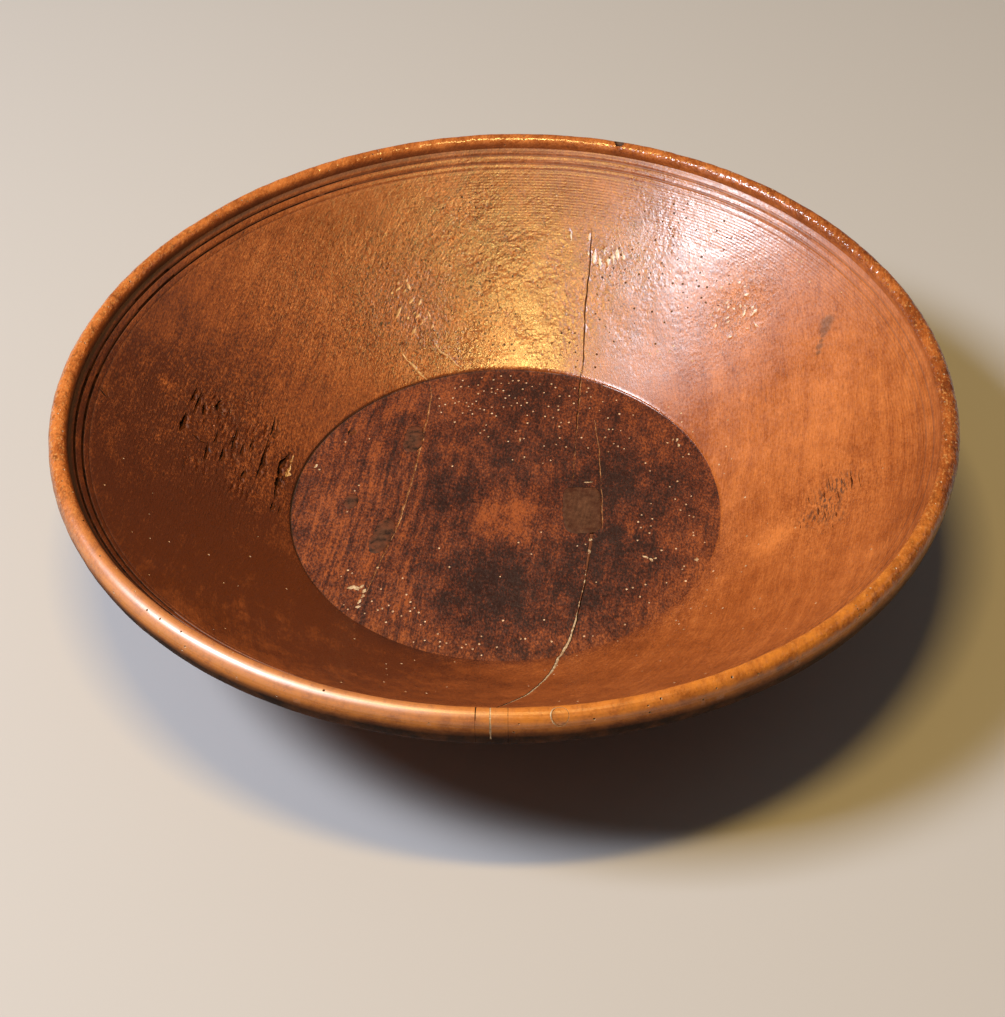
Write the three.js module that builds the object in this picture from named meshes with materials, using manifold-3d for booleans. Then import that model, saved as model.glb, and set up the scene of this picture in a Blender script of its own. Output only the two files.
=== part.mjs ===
// A turned wooden dairy bowl with its old repairs.
// Millimetres, +Z up. The origin is the centre of the base; +Y is the back of the bowl, +X its right.

import * as THREE from 'three';
import { mergeVertices } from 'three/addons/utils/BufferGeometryUtils.js';
import Module from 'manifold-3d';

const { degToRad } = THREE.MathUtils;

// Driving dimensions of the turned body
const rimDiameter = 420;
const rimHeight = 91.5;
const floorDiameter = 210;
const floorThickness = 15;
const ledgeHeight = 1.2;
const ledgeWidth = 0.5;
const wallBelly = 3;
const wallAtFloor = 11;
const wallAtRim = 8;
const footRound = 3;
const outsideBelly = 4;

// The rim bead is egg-shaped in section, blunt end up, with two lines cut in the wall beside it
const beadWidth = 8.8;
const beadRise = 5;
const beadDrop = 13;
const beadTuck = degToRad(125);
const grooveCount = 2;
const grooveLand = 1.9;
const grooveWidth = 1.4;
const grooveDepth = 0.8;
const nickAngle = degToRad(72);
const nickRadius = 3.2;
const nickDepth = 1.6;

// As the blank dried, the rim rose at the two ends of the grain and dropped at its sides
const grainAngle = degToRad(75);
const grainLift = 3;

// The split runs along the grain from the back wall to the rim in front
const splitWidth = 1.2;
const splitTipWidth = 0.3;
const splitDepth = 5;
const splitTopInset = 50;
const splitTopAngle = degToRad(72.8);
const splitBackAngle = degToRad(67);
const splitFrontAngle = degToRad(-77.7);

// Repairs let into the body, each with the same gap all round
const fitGap = 0.3;
const floorPatch = { x: 37.4, y: -3.4, width: 18.5, length: 33, corner: 4, depth: 5 };
const fillAside = 3.8;
const stoppings = [
  { name: 'shake_stopping_back', x: -45.7, y: 51.4, width: 9.5, length: 20.5, depth: 4, turn: -6 },
  { name: 'shake_stopping_front', x: -59.5, y: -19, width: 9.7, length: 25, depth: 4, turn: -16 },
  { name: 'shake_stopping_side', x: -75.4, y: 5, width: 7, length: 10.4, depth: 3, turn: -10 },
];
const rimPatchAngle = degToRad(-91.9);
const rimPatchWidth = 13;
const rimPatchDepth = 16;
const rimPatchHeight = 23;
const pegAngle = degToRad(-84.4);
const pegTilt = degToRad(22);
const pegDiameter = 6.6;
const pegLength = 9;

// Smoothness of the round stretches
const turnSteps = 90;
const wallSteps = 8;
const beadSteps = 9;
const edgeSteps = 4;
const ribbonSteps = 14;
const outlineSteps = 10;

// Heights and radii that follow from the driving dimensions
const rimRadius = rimDiameter / 2;
const floorRadius = floorDiameter / 2;
const ledgeTop = floorThickness + ledgeHeight;
const beadMiddle = { r: rimRadius - beadWidth / 2, z: rimHeight - beadRise };
const beadFoot = { r: rimRadius - beadWidth, z: rimHeight - beadRise };
const overcut = beadRise + beadDrop;

const wasm = await Module();
wasm.setup();

// A closed three.js geometry as a solid that can be cut and joined
function toSolid(geometry) {
  geometry.deleteAttribute('normal');
  geometry.deleteAttribute('uv');
  const welded = mergeVertices(geometry);
  const corners = welded.index.array;
  const triangles = [];
  for (let i = 0; i < corners.length; i += 3) {
    const [a, b, c] = corners.subarray(i, i + 3);
    if (a !== b && b !== c && c !== a) {
      triangles.push(a, b, c);
    }
  }
  return new wasm.Manifold(new wasm.Mesh({
    numProp: 3,
    vertProperties: welded.attributes.position.array,
    triVerts: new Uint32Array(triangles),
  }));
}

// The movement of the dried wood: a saddle that grows with height and towards the rim
function seasonedHeight(x, y, z) {
  const along = x * Math.cos(grainAngle) + y * Math.sin(grainAngle);
  const across = y * Math.cos(grainAngle) - x * Math.sin(grainAngle);
  const saddle = (along * along - across * across) / (rimRadius * rimRadius);
  return z * (1 + (grainLift / rimHeight) * saddle);
}

function toGeometry(solid) {
  const { vertProperties, triVerts } = solid.getMesh();
  const places = Float32Array.from(vertProperties);
  for (let i = 0; i < places.length; i += 3) {
    places[i + 2] = seasonedHeight(places[i], places[i + 1], places[i + 2]);
  }
  const geometry = new THREE.BufferGeometry();
  geometry.setAttribute('position', new THREE.BufferAttribute(places, 3));
  geometry.setIndex(new THREE.BufferAttribute(Uint32Array.from(triVerts), 1));
  geometry.computeVertexNormals();
  return geometry;
}

function revolve(profile) {
  return toSolid(new THREE.LatheGeometry(profile, turnSteps).rotateX(Math.PI / 2));
}

function prism(outline) {
  const depth = rimHeight + 2 * overcut;
  const options = { depth, bevelEnabled: false, curveSegments: outlineSteps };
  return toSolid(new THREE.ExtrudeGeometry(outline, options).translate(0, 0, -overcut));
}

function polar(radius, angle) {
  return new THREE.Vector2(radius * Math.cos(angle), radius * Math.sin(angle));
}

// Height of the inside wall above the base, a cone with a slight belly
function wallHeight(r) {
  const share = (r - floorRadius) / (beadFoot.r - floorRadius);
  return ledgeTop + (beadFoot.z - ledgeTop) * share - 4 * wallBelly * share * (1 - share);
}

function wallSlope(r) {
  const run = beadFoot.r - floorRadius;
  const share = (r - floorRadius) / run;
  return (beadFoot.z - ledgeTop - 4 * wallBelly * (1 - 2 * share)) / run;
}

// Points of the inside from the middle of the floor up to the lowest line under the bead
function insidePoints(drop) {
  const top = beadFoot.r - grooveCount * (grooveLand + grooveWidth);
  const points = [
    new THREE.Vector2(0, floorThickness - drop),
    new THREE.Vector2(floorRadius - ledgeWidth, floorThickness - drop),
  ];
  for (let i = 0; i <= wallSteps; i++) {
    const r = THREE.MathUtils.lerp(floorRadius, top, i / wallSteps);
    points.push(new THREE.Vector2(r, wallHeight(r) - drop));
  }
  return points;
}

// The pointed lines in the wall, from the lower lip of the lowest up to the bead
function groovePoints() {
  const points = [];
  for (let i = grooveCount; i > 0; i--) {
    const lower = beadFoot.r - i * (grooveLand + grooveWidth);
    const middle = lower + grooveWidth / 2;
    const upper = lower + grooveWidth;
    points.push(new THREE.Vector2(lower, wallHeight(lower)));
    points.push(new THREE.Vector2(middle, wallHeight(middle) - grooveDepth));
    points.push(new THREE.Vector2(upper, wallHeight(upper)));
  }
  return points;
}

// The egg section of the bead, from under its inner side round the outside to its inner foot
function beadPoints() {
  const { r, z } = beadMiddle;
  const half = beadWidth / 2;
  const lower = new THREE.EllipseCurve(r, z, half, beadDrop, -beadTuck, 0);
  const upper = new THREE.EllipseCurve(r, z, half, beadRise, 0, Math.PI);
  return [...lower.getPoints(beadSteps), ...upper.getPoints(beadSteps).slice(1)];
}

// The outside from the middle of the base up to the quirk below the bead
function outsidePoints() {
  const rimSlope = wallSlope(beadFoot.r);
  const quirk = new THREE.Vector2(beadFoot.r, beadFoot.z - wallAtRim * Math.hypot(1, rimSlope));
  const floorSlope = wallSlope(floorRadius);
  const underLedge = ledgeTop - wallAtFloor * Math.hypot(1, floorSlope);
  const footRadius = floorRadius + (footRound - underLedge) / floorSlope;
  const heel = new THREE.Vector2(footRadius, footRound);
  const edge = new THREE.QuadraticBezierCurve(
    new THREE.Vector2(footRadius - footRound, 0),
    new THREE.Vector2(footRadius, 0),
    heel,
  );
  const middle = new THREE.Vector2().addVectors(heel, quirk).multiplyScalar(0.5);
  const pull = new THREE.Vector2(middle.x, middle.y - 2 * outsideBelly);
  const wall = new THREE.QuadraticBezierCurve(heel, pull, quirk);
  return [new THREE.Vector2(0, 0), ...edge.getPoints(edgeSteps), ...wall.getPoints(wallSteps).slice(1)];
}

function turnedBody() {
  const inside = [...insidePoints(0).slice(0, -1), ...groovePoints()];
  return revolve([...outsidePoints(), ...beadPoints(), ...inside.reverse()]);
}

// The room in the bowl down to a level below its inside surface
function roomDownTo(drop) {
  const points = insidePoints(drop);
  const lid = rimHeight + overcut;
  points.push(new THREE.Vector2(points.at(-1).x, lid), new THREE.Vector2(0, lid));
  return revolve(points);
}

// A repair flush with the inside surface, and the pocket that takes it
function inlay(outline, depth) {
  const piece = prism(outline(0)).intersect(roomDownTo(depth)).subtract(roomDownTo(0));
  const pocket = prism(outline(fitGap)).intersect(roomDownTo(depth + fitGap));
  return { piece, pocket };
}

function patchOutline(grow) {
  const { x, y, width, length, corner } = floorPatch;
  const right = width / 2 - corner;
  const back = length / 2 - corner;
  const shape = new THREE.Shape();
  shape.absarc(x + right, y + back, corner + grow, 0, Math.PI / 2);
  shape.absarc(x - right, y + back, corner + grow, Math.PI / 2, Math.PI);
  shape.absarc(x - right, y - back, corner + grow, Math.PI, 1.5 * Math.PI);
  shape.absarc(x + right, y - back, corner + grow, 1.5 * Math.PI, 2 * Math.PI);
  return shape;
}

function stoppingOutline({ x, y, width, length, turn }, grow) {
  const shape = new THREE.Shape();
  shape.absellipse(x, y, width / 2 + grow, length / 2 + grow, 0, 2 * Math.PI, false, degToRad(turn));
  return shape;
}

// A band along a route in plan, as wide on each side as halfWidth says, running past both ends by reach
function ribbonOutline(route, halfWidth, reach) {
  const left = [];
  const right = [];
  const overrun = { 0: -reach, [ribbonSteps]: reach };
  for (let i = 0; i <= ribbonSteps; i++) {
    const t = i / ribbonSteps;
    const along = route.getTangent(t);
    const point = route.getPoint(t).addScaledVector(along, overrun[i] ?? 0);
    const aside = new THREE.Vector2(-along.y, along.x).multiplyScalar(halfWidth(t));
    left.push(point.clone().add(aside));
    right.unshift(point.clone().sub(aside));
  }
  return new THREE.Shape([...left, ...right]);
}

// The open stretch of the split, a slot that tapers to both ends
function openSplit() {
  const start = polar(floorRadius, splitBackAngle);
  const end = polar(rimRadius - splitTopInset, splitTopAngle);
  const route = new THREE.LineCurve(start, end);
  const opening = splitWidth - splitTipWidth;
  const halfWidth = (t) => (splitTipWidth + opening * Math.sin(Math.PI * t)) / 2;
  return prism(ribbonOutline(route, halfWidth, 0)).intersect(roomDownTo(splitDepth));
}

// The filled stretch, from the floor patch over the floor and the front wall to the rim patch
function fillOutline(grow) {
  const start = new THREE.Vector2(
    floorPatch.x + fillAside,
    floorPatch.y - floorPatch.length / 2 - 2 * fitGap,
  );
  const bend = polar(floorRadius, splitFrontAngle);
  const end = polar(rimRadius - rimPatchDepth - 2 * fitGap, rimPatchAngle);
  const route = new THREE.SplineCurve([start, bend, end]);
  return ribbonOutline(route, () => splitWidth / 2 + grow, grow);
}

// The block of rim that is let in where the split comes out in front
function rimBlock(grow) {
  const depth = rimPatchDepth + grow + overcut;
  const height = rimPatchHeight + grow + overcut;
  const block = new THREE.BoxGeometry(depth, rimPatchWidth + 2 * grow, height);
  block.translate(rimRadius + overcut - depth / 2, 0, rimHeight + overcut - height / 2);
  return toSolid(block.rotateZ(rimPatchAngle));
}

// A peg driven into the bead, leaning outwards
function pegRod(grow) {
  const length = pegLength + grow + overcut;
  const radius = pegDiameter / 2 + grow;
  const rod = new THREE.CylinderGeometry(radius, radius, length, 2 * outlineSteps);
  rod.rotateX(Math.PI / 2).translate(0, 0, beadRise + overcut - length / 2);
  rod.rotateY(pegTilt).translate(beadMiddle.r, 0, beadMiddle.z);
  return toSolid(rod.rotateZ(pegAngle));
}

// A chip knocked out of the bead
function rimNick() {
  const ball = new THREE.SphereGeometry(nickRadius, outlineSteps, outlineSteps);
  const lift = beadRise + nickRadius - nickDepth;
  return toSolid(ball.translate(beadMiddle.r, 0, beadMiddle.z + lift).rotateZ(nickAngle));
}

const finishes = {
  sycamore: { color: 0x9c5f28, roughness: 0.38 },
  patchWood: { color: 0x7a5836, roughness: 0.45 },
  darkStopping: { color: 0x3c2412, roughness: 0.55 },
  paleFilling: { color: 0xcda873, roughness: 0.6 },
  rimWood: { color: 0x94632a, roughness: 0.4 },
};

function makeMesh(name, solid, finish) {
  const material = new THREE.MeshStandardMaterial({ ...finishes[finish], metalness: 0 });
  const mesh = new THREE.Mesh(toGeometry(solid), material);
  mesh.name = name;
  return mesh;
}

const turned = turnedBody();
const patch = inlay(patchOutline, floorPatch.depth);
const filling = inlay(fillOutline, splitDepth);
const bowl = new THREE.Group();
let body = turned.subtract(patch.pocket).subtract(filling.pocket).subtract(openSplit());

for (const stopping of stoppings) {
  const { piece, pocket } = inlay((grow) => stoppingOutline(stopping, grow), stopping.depth);
  bowl.add(makeMesh(stopping.name, piece, 'darkStopping'));
  body = body.subtract(pocket);
}

body = body.subtract(rimBlock(fitGap)).subtract(pegRod(fitGap)).subtract(rimNick());

bowl.add(makeMesh('bowl_body', body, 'sycamore'));
bowl.add(makeMesh('floor_patch', patch.piece, 'patchWood'));
bowl.add(makeMesh('split_filling', filling.piece, 'paleFilling'));
bowl.add(makeMesh('rim_patch', turned.intersect(rimBlock(0)), 'rimWood'));
bowl.add(makeMesh('rim_peg', turned.intersect(pegRod(0)), 'rimWood'));

export default bowl;
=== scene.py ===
import math
from types import SimpleNamespace

import bmesh
import bpy
import numpy as np
from mathutils import Matrix, Vector, noise
from mathutils.bvhtree import BVHTree


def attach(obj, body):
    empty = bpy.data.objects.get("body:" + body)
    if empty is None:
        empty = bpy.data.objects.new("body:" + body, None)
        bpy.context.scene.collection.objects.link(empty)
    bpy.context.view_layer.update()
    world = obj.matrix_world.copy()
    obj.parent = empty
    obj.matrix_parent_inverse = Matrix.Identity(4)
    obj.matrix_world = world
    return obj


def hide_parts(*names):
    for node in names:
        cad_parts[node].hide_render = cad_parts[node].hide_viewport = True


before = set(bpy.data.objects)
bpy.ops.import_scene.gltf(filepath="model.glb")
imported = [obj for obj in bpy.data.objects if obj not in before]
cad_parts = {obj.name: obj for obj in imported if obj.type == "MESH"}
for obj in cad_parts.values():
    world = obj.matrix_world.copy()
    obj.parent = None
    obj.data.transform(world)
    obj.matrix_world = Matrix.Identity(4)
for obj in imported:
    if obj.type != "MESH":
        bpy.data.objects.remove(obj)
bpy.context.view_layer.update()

mm = 0.001
scene = bpy.context.scene
scene.view_settings.view_transform = "Standard"


def linked(name, data):
    made = bpy.data.objects.new(name, data)
    scene.collection.objects.link(made)
    return made


# Camera, floor and light

view = {
    "back": 790.15 * mm,
    "up": 740.0 * mm,
    "pitch": 0.7435,         # radians below level
    "yaw": -0.0017,
    "roll": -0.0186,
    "focal": 2200 / 1017,    # focal length over the image's long side
    "sensor": 36.0,
}


def makeCamera():
    data = bpy.data.cameras.new("view")
    data.sensor_width = view["sensor"]
    data.lens = view["sensor"] * view["focal"]
    pitch, yaw, roll = view["pitch"], view["yaw"], view["roll"]
    forward = Vector((math.sin(yaw) * math.cos(pitch), math.cos(yaw) * math.cos(pitch), -math.sin(pitch)))
    level = Vector((math.cos(yaw), -math.sin(yaw), 0))
    upward = level.cross(forward)
    across = level * math.cos(roll) + upward * math.sin(roll)
    over = upward * math.cos(roll) - level * math.sin(roll)
    camera = linked("view", data)
    turned = Matrix((across, over, -forward)).transposed().to_4x4()
    camera.matrix_world = Matrix.Translation((0, -view["back"], view["up"])) @ turned
    scene.camera = camera


studio = {
    "floorSize": 6.0,
    "floorColour": (0.56, 0.55, 0.555, 1),
    "floorRoughness": 0.85,
    "worldColour": (0.92, 0.85, 0.74, 1),
    "worldStrength": 0.07,
}

# Where each light comes from: degrees round from the back towards the right, then above level
lights = {
    "window": {"round": -100, "above": 50, "away": 2.2, "aside": 0.0,
               "wide": 0.60, "tall": 0.55, "power": 46, "colour": (0.88, 0.92, 1.0)},
    "lamp": {"round": 180, "above": 83, "away": 2.0, "aside": -0.16,
             "wide": 0.65, "tall": 0.12, "power": 20, "colour": (1.0, 0.66, 0.20)},
    "fill": {"round": 70, "above": 40, "away": 2.6, "aside": 0.0,
             "wide": 1.2, "tall": 1.2, "power": 1.2, "colour": (1.0, 0.93, 0.85)},
}


def addLight(name, spec):
    data = bpy.data.lights.new(name, "AREA")
    data.shape = "RECTANGLE"
    data.size = spec["wide"]
    data.size_y = spec["tall"]
    data.energy = spec["power"]
    data.color = spec["colour"]
    swing, rise = math.radians(spec["round"]), math.radians(spec["above"])
    toward = Vector((math.sin(swing) * math.cos(rise), math.cos(swing) * math.cos(rise), math.sin(rise)))
    light = linked(name, data)
    light.location = toward * spec["away"] + Vector((spec["aside"], 0, 0))
    light.rotation_euler = toward.to_track_quat("Z", "Y").to_euler()


def makeStudio():
    material, shader = newMaterial("studioFloor")[:2]
    shader.inputs["Base Color"].default_value = studio["floorColour"]
    shader.inputs["Roughness"].default_value = studio["floorRoughness"]
    side = studio["floorSize"] / 2
    corners = [(-side, -side, 0), (side, -side, 0), (side, side, 0), (-side, side, 0)]
    studioFloor = addObject("studioFloor", corners, [(0, 1, 2, 3)], material)
    world = bpy.data.worlds.new("studio")
    world.use_nodes = True
    backdrop = world.node_tree.nodes["Background"]
    backdrop.inputs["Color"].default_value = studio["worldColour"]
    backdrop.inputs["Strength"].default_value = studio["worldStrength"]
    scene.world = world
    for name, spec in lights.items():
        addLight(name, spec)


# Small helpers for node trees

def wire(tree, value, socket):
    if isinstance(value, bpy.types.NodeSocket):
        tree.links.new(value, socket)
    else:
        socket.default_value = value


def newNode(tree, kind, inputs, **settings):
    node = tree.nodes.new(kind)
    for name, value in settings.items():
        setattr(node, name, value)
    for name, value in inputs.items():
        wire(tree, value, node.inputs[name])
    return node


def calc(tree, operation, *values):
    return newNode(tree, "ShaderNodeMath", dict(enumerate(values)), operation=operation).outputs[0]


def times(tree, first, second):
    return calc(tree, "MULTIPLY", first, second)


def plus(tree, base, value, weight):
    return calc(tree, "MULTIPLY_ADD", value, weight, base)


# Like plus, for a pattern that goes both ways from 0.5
def leaning(tree, base, pattern, weight):
    return plus(tree, base, calc(tree, "SUBTRACT", pattern, 0.5), weight)


def largest(tree, first, *others):
    for other in others:
        first = calc(tree, "MAXIMUM", first, other)
    return first


def vectorCalc(tree, operation, *values, out="Vector"):
    return newNode(tree, "ShaderNodeVectorMath", dict(enumerate(values)), operation=operation).outputs[out]


def scaled(tree, vector, factor):
    return newNode(tree, "ShaderNodeVectorMath", {0: vector, "Scale": factor}, operation="SCALE").outputs["Vector"]


def joined(tree, *parts):
    return newNode(tree, "ShaderNodeCombineXYZ", dict(enumerate(parts))).outputs[0]


def ranged(tree, value, fromLow, fromHigh, toLow=0.0, toHigh=1.0):
    values = (value, fromLow, fromHigh, toLow, toHigh)
    return newNode(tree, "ShaderNodeMapRange", dict(enumerate(values))).outputs[0]


def between(tree, share, low, high):
    return ranged(tree, share, 0.0, 1.0, low, high)


def blotch(tree, vector, scale, detail=2.0, roughness=0.5):
    inputs = {"Vector": vector, "Scale": scale, "Detail": detail, "Roughness": roughness}
    return newNode(tree, "ShaderNodeTexNoise", inputs).outputs[0]


def mixed(tree, share, first, second):
    return newNode(tree, "ShaderNodeMix", {0: share, 6: first, 7: second}, data_type="RGBA").outputs[2]


def ramped(tree, value, places, colours):
    node = newNode(tree, "ShaderNodeValToRGB", {0: value})
    steps = node.color_ramp.elements
    while len(steps) < len(places):
        steps.new(0.5)
    for step, place, colour in zip(steps, places, colours):
        step.position = place
        step.color = (*colour, 1)
    return node.outputs[0]


def mask(tree, name):
    return newNode(tree, "ShaderNodeAttribute", {}, attribute_name=name).outputs["Fac"]


def newGroup(name, kind, inputs, outputs):
    tree = bpy.data.node_groups.new(name, kind)
    for label, socketType, value in inputs:
        socket = tree.interface.new_socket(label, in_out="INPUT", socket_type="NodeSocket" + socketType)
        if value is not None:
            socket.default_value = value
    for label, socketType in outputs:
        tree.interface.new_socket(label, in_out="OUTPUT", socket_type="NodeSocket" + socketType)
    return tree, tree.nodes.new("NodeGroupInput").outputs, tree.nodes.new("NodeGroupOutput").inputs


def placed(tree, group, **values):
    return newNode(tree, "ShaderNodeGroup", values, node_tree=group).outputs


# Figure of the wood: growth rings round a pith line that lies along the grain, with fibres and pores.
# Sizes inside are in millimetres.

figureSettings = {
    "swayScale": 0.016,
    "swayDetail": 1.5,
    "sway": (11.0, 0.0, 11.0),
    "arcRadius": 60.0,       # arcs round the pith are measured here
    "ringStretch": (0.016, 0.006),
    "poreStretch": (2.2, 1.3, 0.22),
    "poreRange": (0.58, 0.68),
}


def woodFigure():
    spec = figureSettings
    tree, given, out = newGroup("woodFigure", "ShaderNodeTree", [
        ("place", "Vector", None),
        ("pithAside", "Float", 18.0),
        ("pithHeight", "Float", 2.0),
        ("grainTurn", "Float", math.radians(10)),
        ("ringWidth", "Float", 5.0),
        ("fibreWidth", "Float", 0.55),
        ("fibreArc", "Float", 1.9),
        ("fibreLength", "Float", 8.0),
    ], [("rings", "Float"), ("fibre", "Float"), ("pores", "Float")])
    turned = newNode(tree, "ShaderNodeVectorRotate", {
        "Vector": scaled(tree, given["place"], 1000.0),
        "Angle": given["grainTurn"],
    }, rotation_type="Z_AXIS").outputs[0]
    sway = newNode(tree, "ShaderNodeTexNoise", {
        "Vector": turned,
        "Scale": spec["swayScale"],
        "Detail": spec["swayDetail"],
    }).outputs["Color"]
    swayed = vectorCalc(tree, "MULTIPLY_ADD", sway, spec["sway"], turned)
    across, forward, height = newNode(tree, "ShaderNodeSeparateXYZ", {0: swayed}).outputs
    aside = calc(tree, "SUBTRACT", across, given["pithAside"])
    lift = calc(tree, "SUBTRACT", height, given["pithHeight"])
    reach = vectorCalc(tree, "LENGTH", joined(tree, aside, lift, 0.0), out="Value")
    arc = times(tree, calc(tree, "ARCTAN2", aside, lift), spec["arcRadius"])
    ringArc, ringLength = spec["ringStretch"]
    ringPlace = joined(tree, calc(tree, "DIVIDE", reach, given["ringWidth"]),
                       times(tree, arc, ringArc), times(tree, forward, ringLength))
    wire(tree, blotch(tree, ringPlace, 1.0, 2.5, 0.55), out["rings"])
    fibrePlace = joined(tree, calc(tree, "DIVIDE", reach, given["fibreWidth"]),
                        calc(tree, "DIVIDE", arc, given["fibreArc"]),
                        calc(tree, "DIVIDE", forward, given["fibreLength"]))
    wire(tree, blotch(tree, fibrePlace, 1.0, 2.5, 0.6), out["fibre"])
    porePlace = joined(tree, *(times(tree, part, stretch)
                               for part, stretch in zip((reach, arc, forward), spec["poreStretch"])))
    wire(tree, ranged(tree, blotch(tree, porePlace, 1.0, 1.0), *spec["poreRange"]), out["pores"])
    return tree


# Fine rings left by the turning tool, a height from 0 to 1

toolSettings = {
    "wanderScale": 0.02,
    "wander": 2.2,
    "unevenScale": 0.9,
    "uneven": (0.3, 0.7, 0.25, 1.0),
}


def toolLines():
    spec = toolSettings
    tree, given, out = newGroup("toolLines", "ShaderNodeTree", [
        ("place", "Vector", None),
        ("pitch", "Float", 1.15),
    ], [("lines", "Float")])
    inMm = scaled(tree, given["place"], 1000.0)
    reach = vectorCalc(tree, "LENGTH", vectorCalc(tree, "MULTIPLY", inMm, (1, 1, 0)), out="Value")
    wander = times(tree, blotch(tree, inMm, spec["wanderScale"], 1.0), spec["wander"])
    steps = calc(tree, "DIVIDE", calc(tree, "ADD", reach, wander), given["pitch"])
    wave = plus(tree, 0.5, calc(tree, "SINE", times(tree, steps, 2 * math.pi)), 0.5)
    uneven = blotch(tree, joined(tree, times(tree, reach, spec["unevenScale"]), 0.0, 0.0), 1.0, 2.0)
    wire(tree, times(tree, wave, ranged(tree, uneven, *spec["uneven"])), out["lines"])
    return tree


def newMaterial(name, specular=0.5):
    material = bpy.data.materials.new(name)
    material.use_nodes = True
    tree = material.node_tree
    shader = next(node for node in tree.nodes if node.type == "BSDF_PRINCIPLED")
    shader.inputs["Specular IOR Level"].default_value = specular
    place = tree.nodes.new("ShaderNodeTexCoord").outputs["Object"]
    return material, shader, tree, place


def bumped(tree, shader, height, depth):
    bump = newNode(tree, "ShaderNodeBump", {"Height": height, "Distance": depth})
    wire(tree, bump.outputs[0], shader.inputs["Normal"])


# Waxed old sycamore of the bowl. The masks are painted on the mesh further down.

bowlFinish = {
    "wall": ((0.112, 0.023, 0.004), (0.345, 0.085, 0.014), (0.680, 0.212, 0.046)),
    "wallSteps": (0.20, 0.50, 0.82),
    "floor": ((0.026, 0.0062, 0.0040), (0.113, 0.0232, 0.0088), (0.365, 0.088, 0.019)),
    "floorSteps": (0.16, 0.48, 0.90),
    # dark brown for dirt, pores and painted shade
    "grime": (0.022, 0.008, 0.003, 1),
    "stain": (0.115, 0.055, 0.030, 1),
    "scar": (0.105, 0.046, 0.024, 1),
    # pale gold spots painted on the bead as glints
    "flake": (0.800, 0.390, 0.125, 1),
    # the colour of a sheen painted on the bead's top
    "goldSheenColour": (0.790, 0.270, 0.028, 1),
    "fibreDepth": 1.0 * mm,
    "waxRoughness": 0.51,
    "waxIor": 2.7,
}

# The let-in rim wood has the bowl's finish in a yellower, greyer tone
rimFinish = {
    **bowlFinish,
    "wall": ((0.105, 0.028, 0.007), (0.310, 0.090, 0.020), (0.580, 0.190, 0.048)),
}

bowlMasks = ("tone", "torn", "streaky", "bead", "stain", "lathe", "grime", "floorShare", "gloss", "dimpled",
             "rippled", "scar", "golden", "waxed")

# Noises in the wood: scale, detail, roughness. The first list has spots drawn out along the grain.
spotShape = (1.0, 0.55, 1.0)
drawnNoises = {
    "speck": (1150.0, 3.0, 0.7),
    "mottle": (150.0, 5.0, 0.66),
    "pitted": (850.0, 3.0, 0.7),
    "ragged": (90.0, 5.0, 0.70),
    "sunk": (360.0, 3.0, 0.65),
    "flaked": (820.0, 2.0, 0.6),
}
roundNoises = {
    "cloud": (30.0, 4.0, 0.62),
    "patchy": (70.0, 2.0, 0.5),
    "hammered": (430.0, 1.5, 0.5),
}

# What a pattern or mask turns into: its own range, then the range of the effect
woodRanges = {
    "raggedness": (0.36, 0.64, 0.1, 1.8),
    "toolDirt": (0.22, 0.04, 0.0, 0.24),
    "dirtAndShadeBreakUp": (0.1, 1.8, 1.05, 0.93),
    "sunkDirt": (0.46, 0.36, 0.0, 0.45),
    "poreDirt": (0.0, 1.0, 0.15, 0.95),
    "glintSpotting": (0.57, 0.67, 0.0, 0.58),
    "scarring": (0.50, 0.60),
    "goldSheenBreakUp": (0.36, 0.62, 0.25, 0.70),
    "tornPits": (0.1, 1.0, 0.15, 1.6),
    "cloudRoughness": (0.3, 0.7, 0.33, 0.41),
    "fibreRelief": (0.0, 1.0, 0.04, 0.36),
    "dashRelief": (0.15, 1.0, 0.0, 0.60),
    "pitRelief": (0.0, 1.0, 0.0, 0.50),
    "ripplePatches": (0.38, 0.62, 0.08, 0.44),
}

# Weights of the patterns. Pairs are for the wall and the floor.
woodWeights = {
    "rings": 0.25,
    "fibre": (0.36, 0.40),
    "cloud": (0.35, 0.50),
    "rippleSpeck": (0.15, 1.6),
    "floorSpeck": 1.65,
    "mottle": (0.25, 1.0),
    "beadMottle": 0.9,
    "streaks": 1.1,
    "breakUp": (0.25, 0.75),
    "tone": (0.30, 0.42),
    "glossRoughness": -0.18,
    "floorRoughness": 0.06,
    "pitRoughness": 0.55,
    "leastRoughness": 0.13,
    "grimeAndShadeRoughness": 0.4,
    "toolRelief": 0.06,
    "beadHammer": 0.78,
    "speckRelief": 0.18,
    "scarRelief": -0.20,
}


def shaped(tree, value, name):
    return ranged(tree, value, *woodRanges[name])


def bowlPatterns(tree, place, figure, lines):
    wood = placed(tree, figure, place=place)
    found = {name: mask(tree, name) for name in bowlMasks}
    found.update({name: wood[name] for name in ("rings", "fibre", "pores")})
    found["streaks"] = placed(tree, figure, place=place, fibreWidth=2.0, fibreArc=3.0, fibreLength=55.0)["fibre"]
    found["dashes"] = placed(tree, figure, place=place, fibreWidth=1.0, fibreArc=1.4, fibreLength=5.0)["fibre"]
    found["tool"] = placed(tree, lines, place=place)["lines"]
    drawn = vectorCalc(tree, "MULTIPLY", place, spotShape)
    for noises, at in ((drawnNoises, drawn), (roundNoises, place)):
        found.update({name: blotch(tree, at, *settings) for name, settings in noises.items()})
    return SimpleNamespace(**found)


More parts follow.
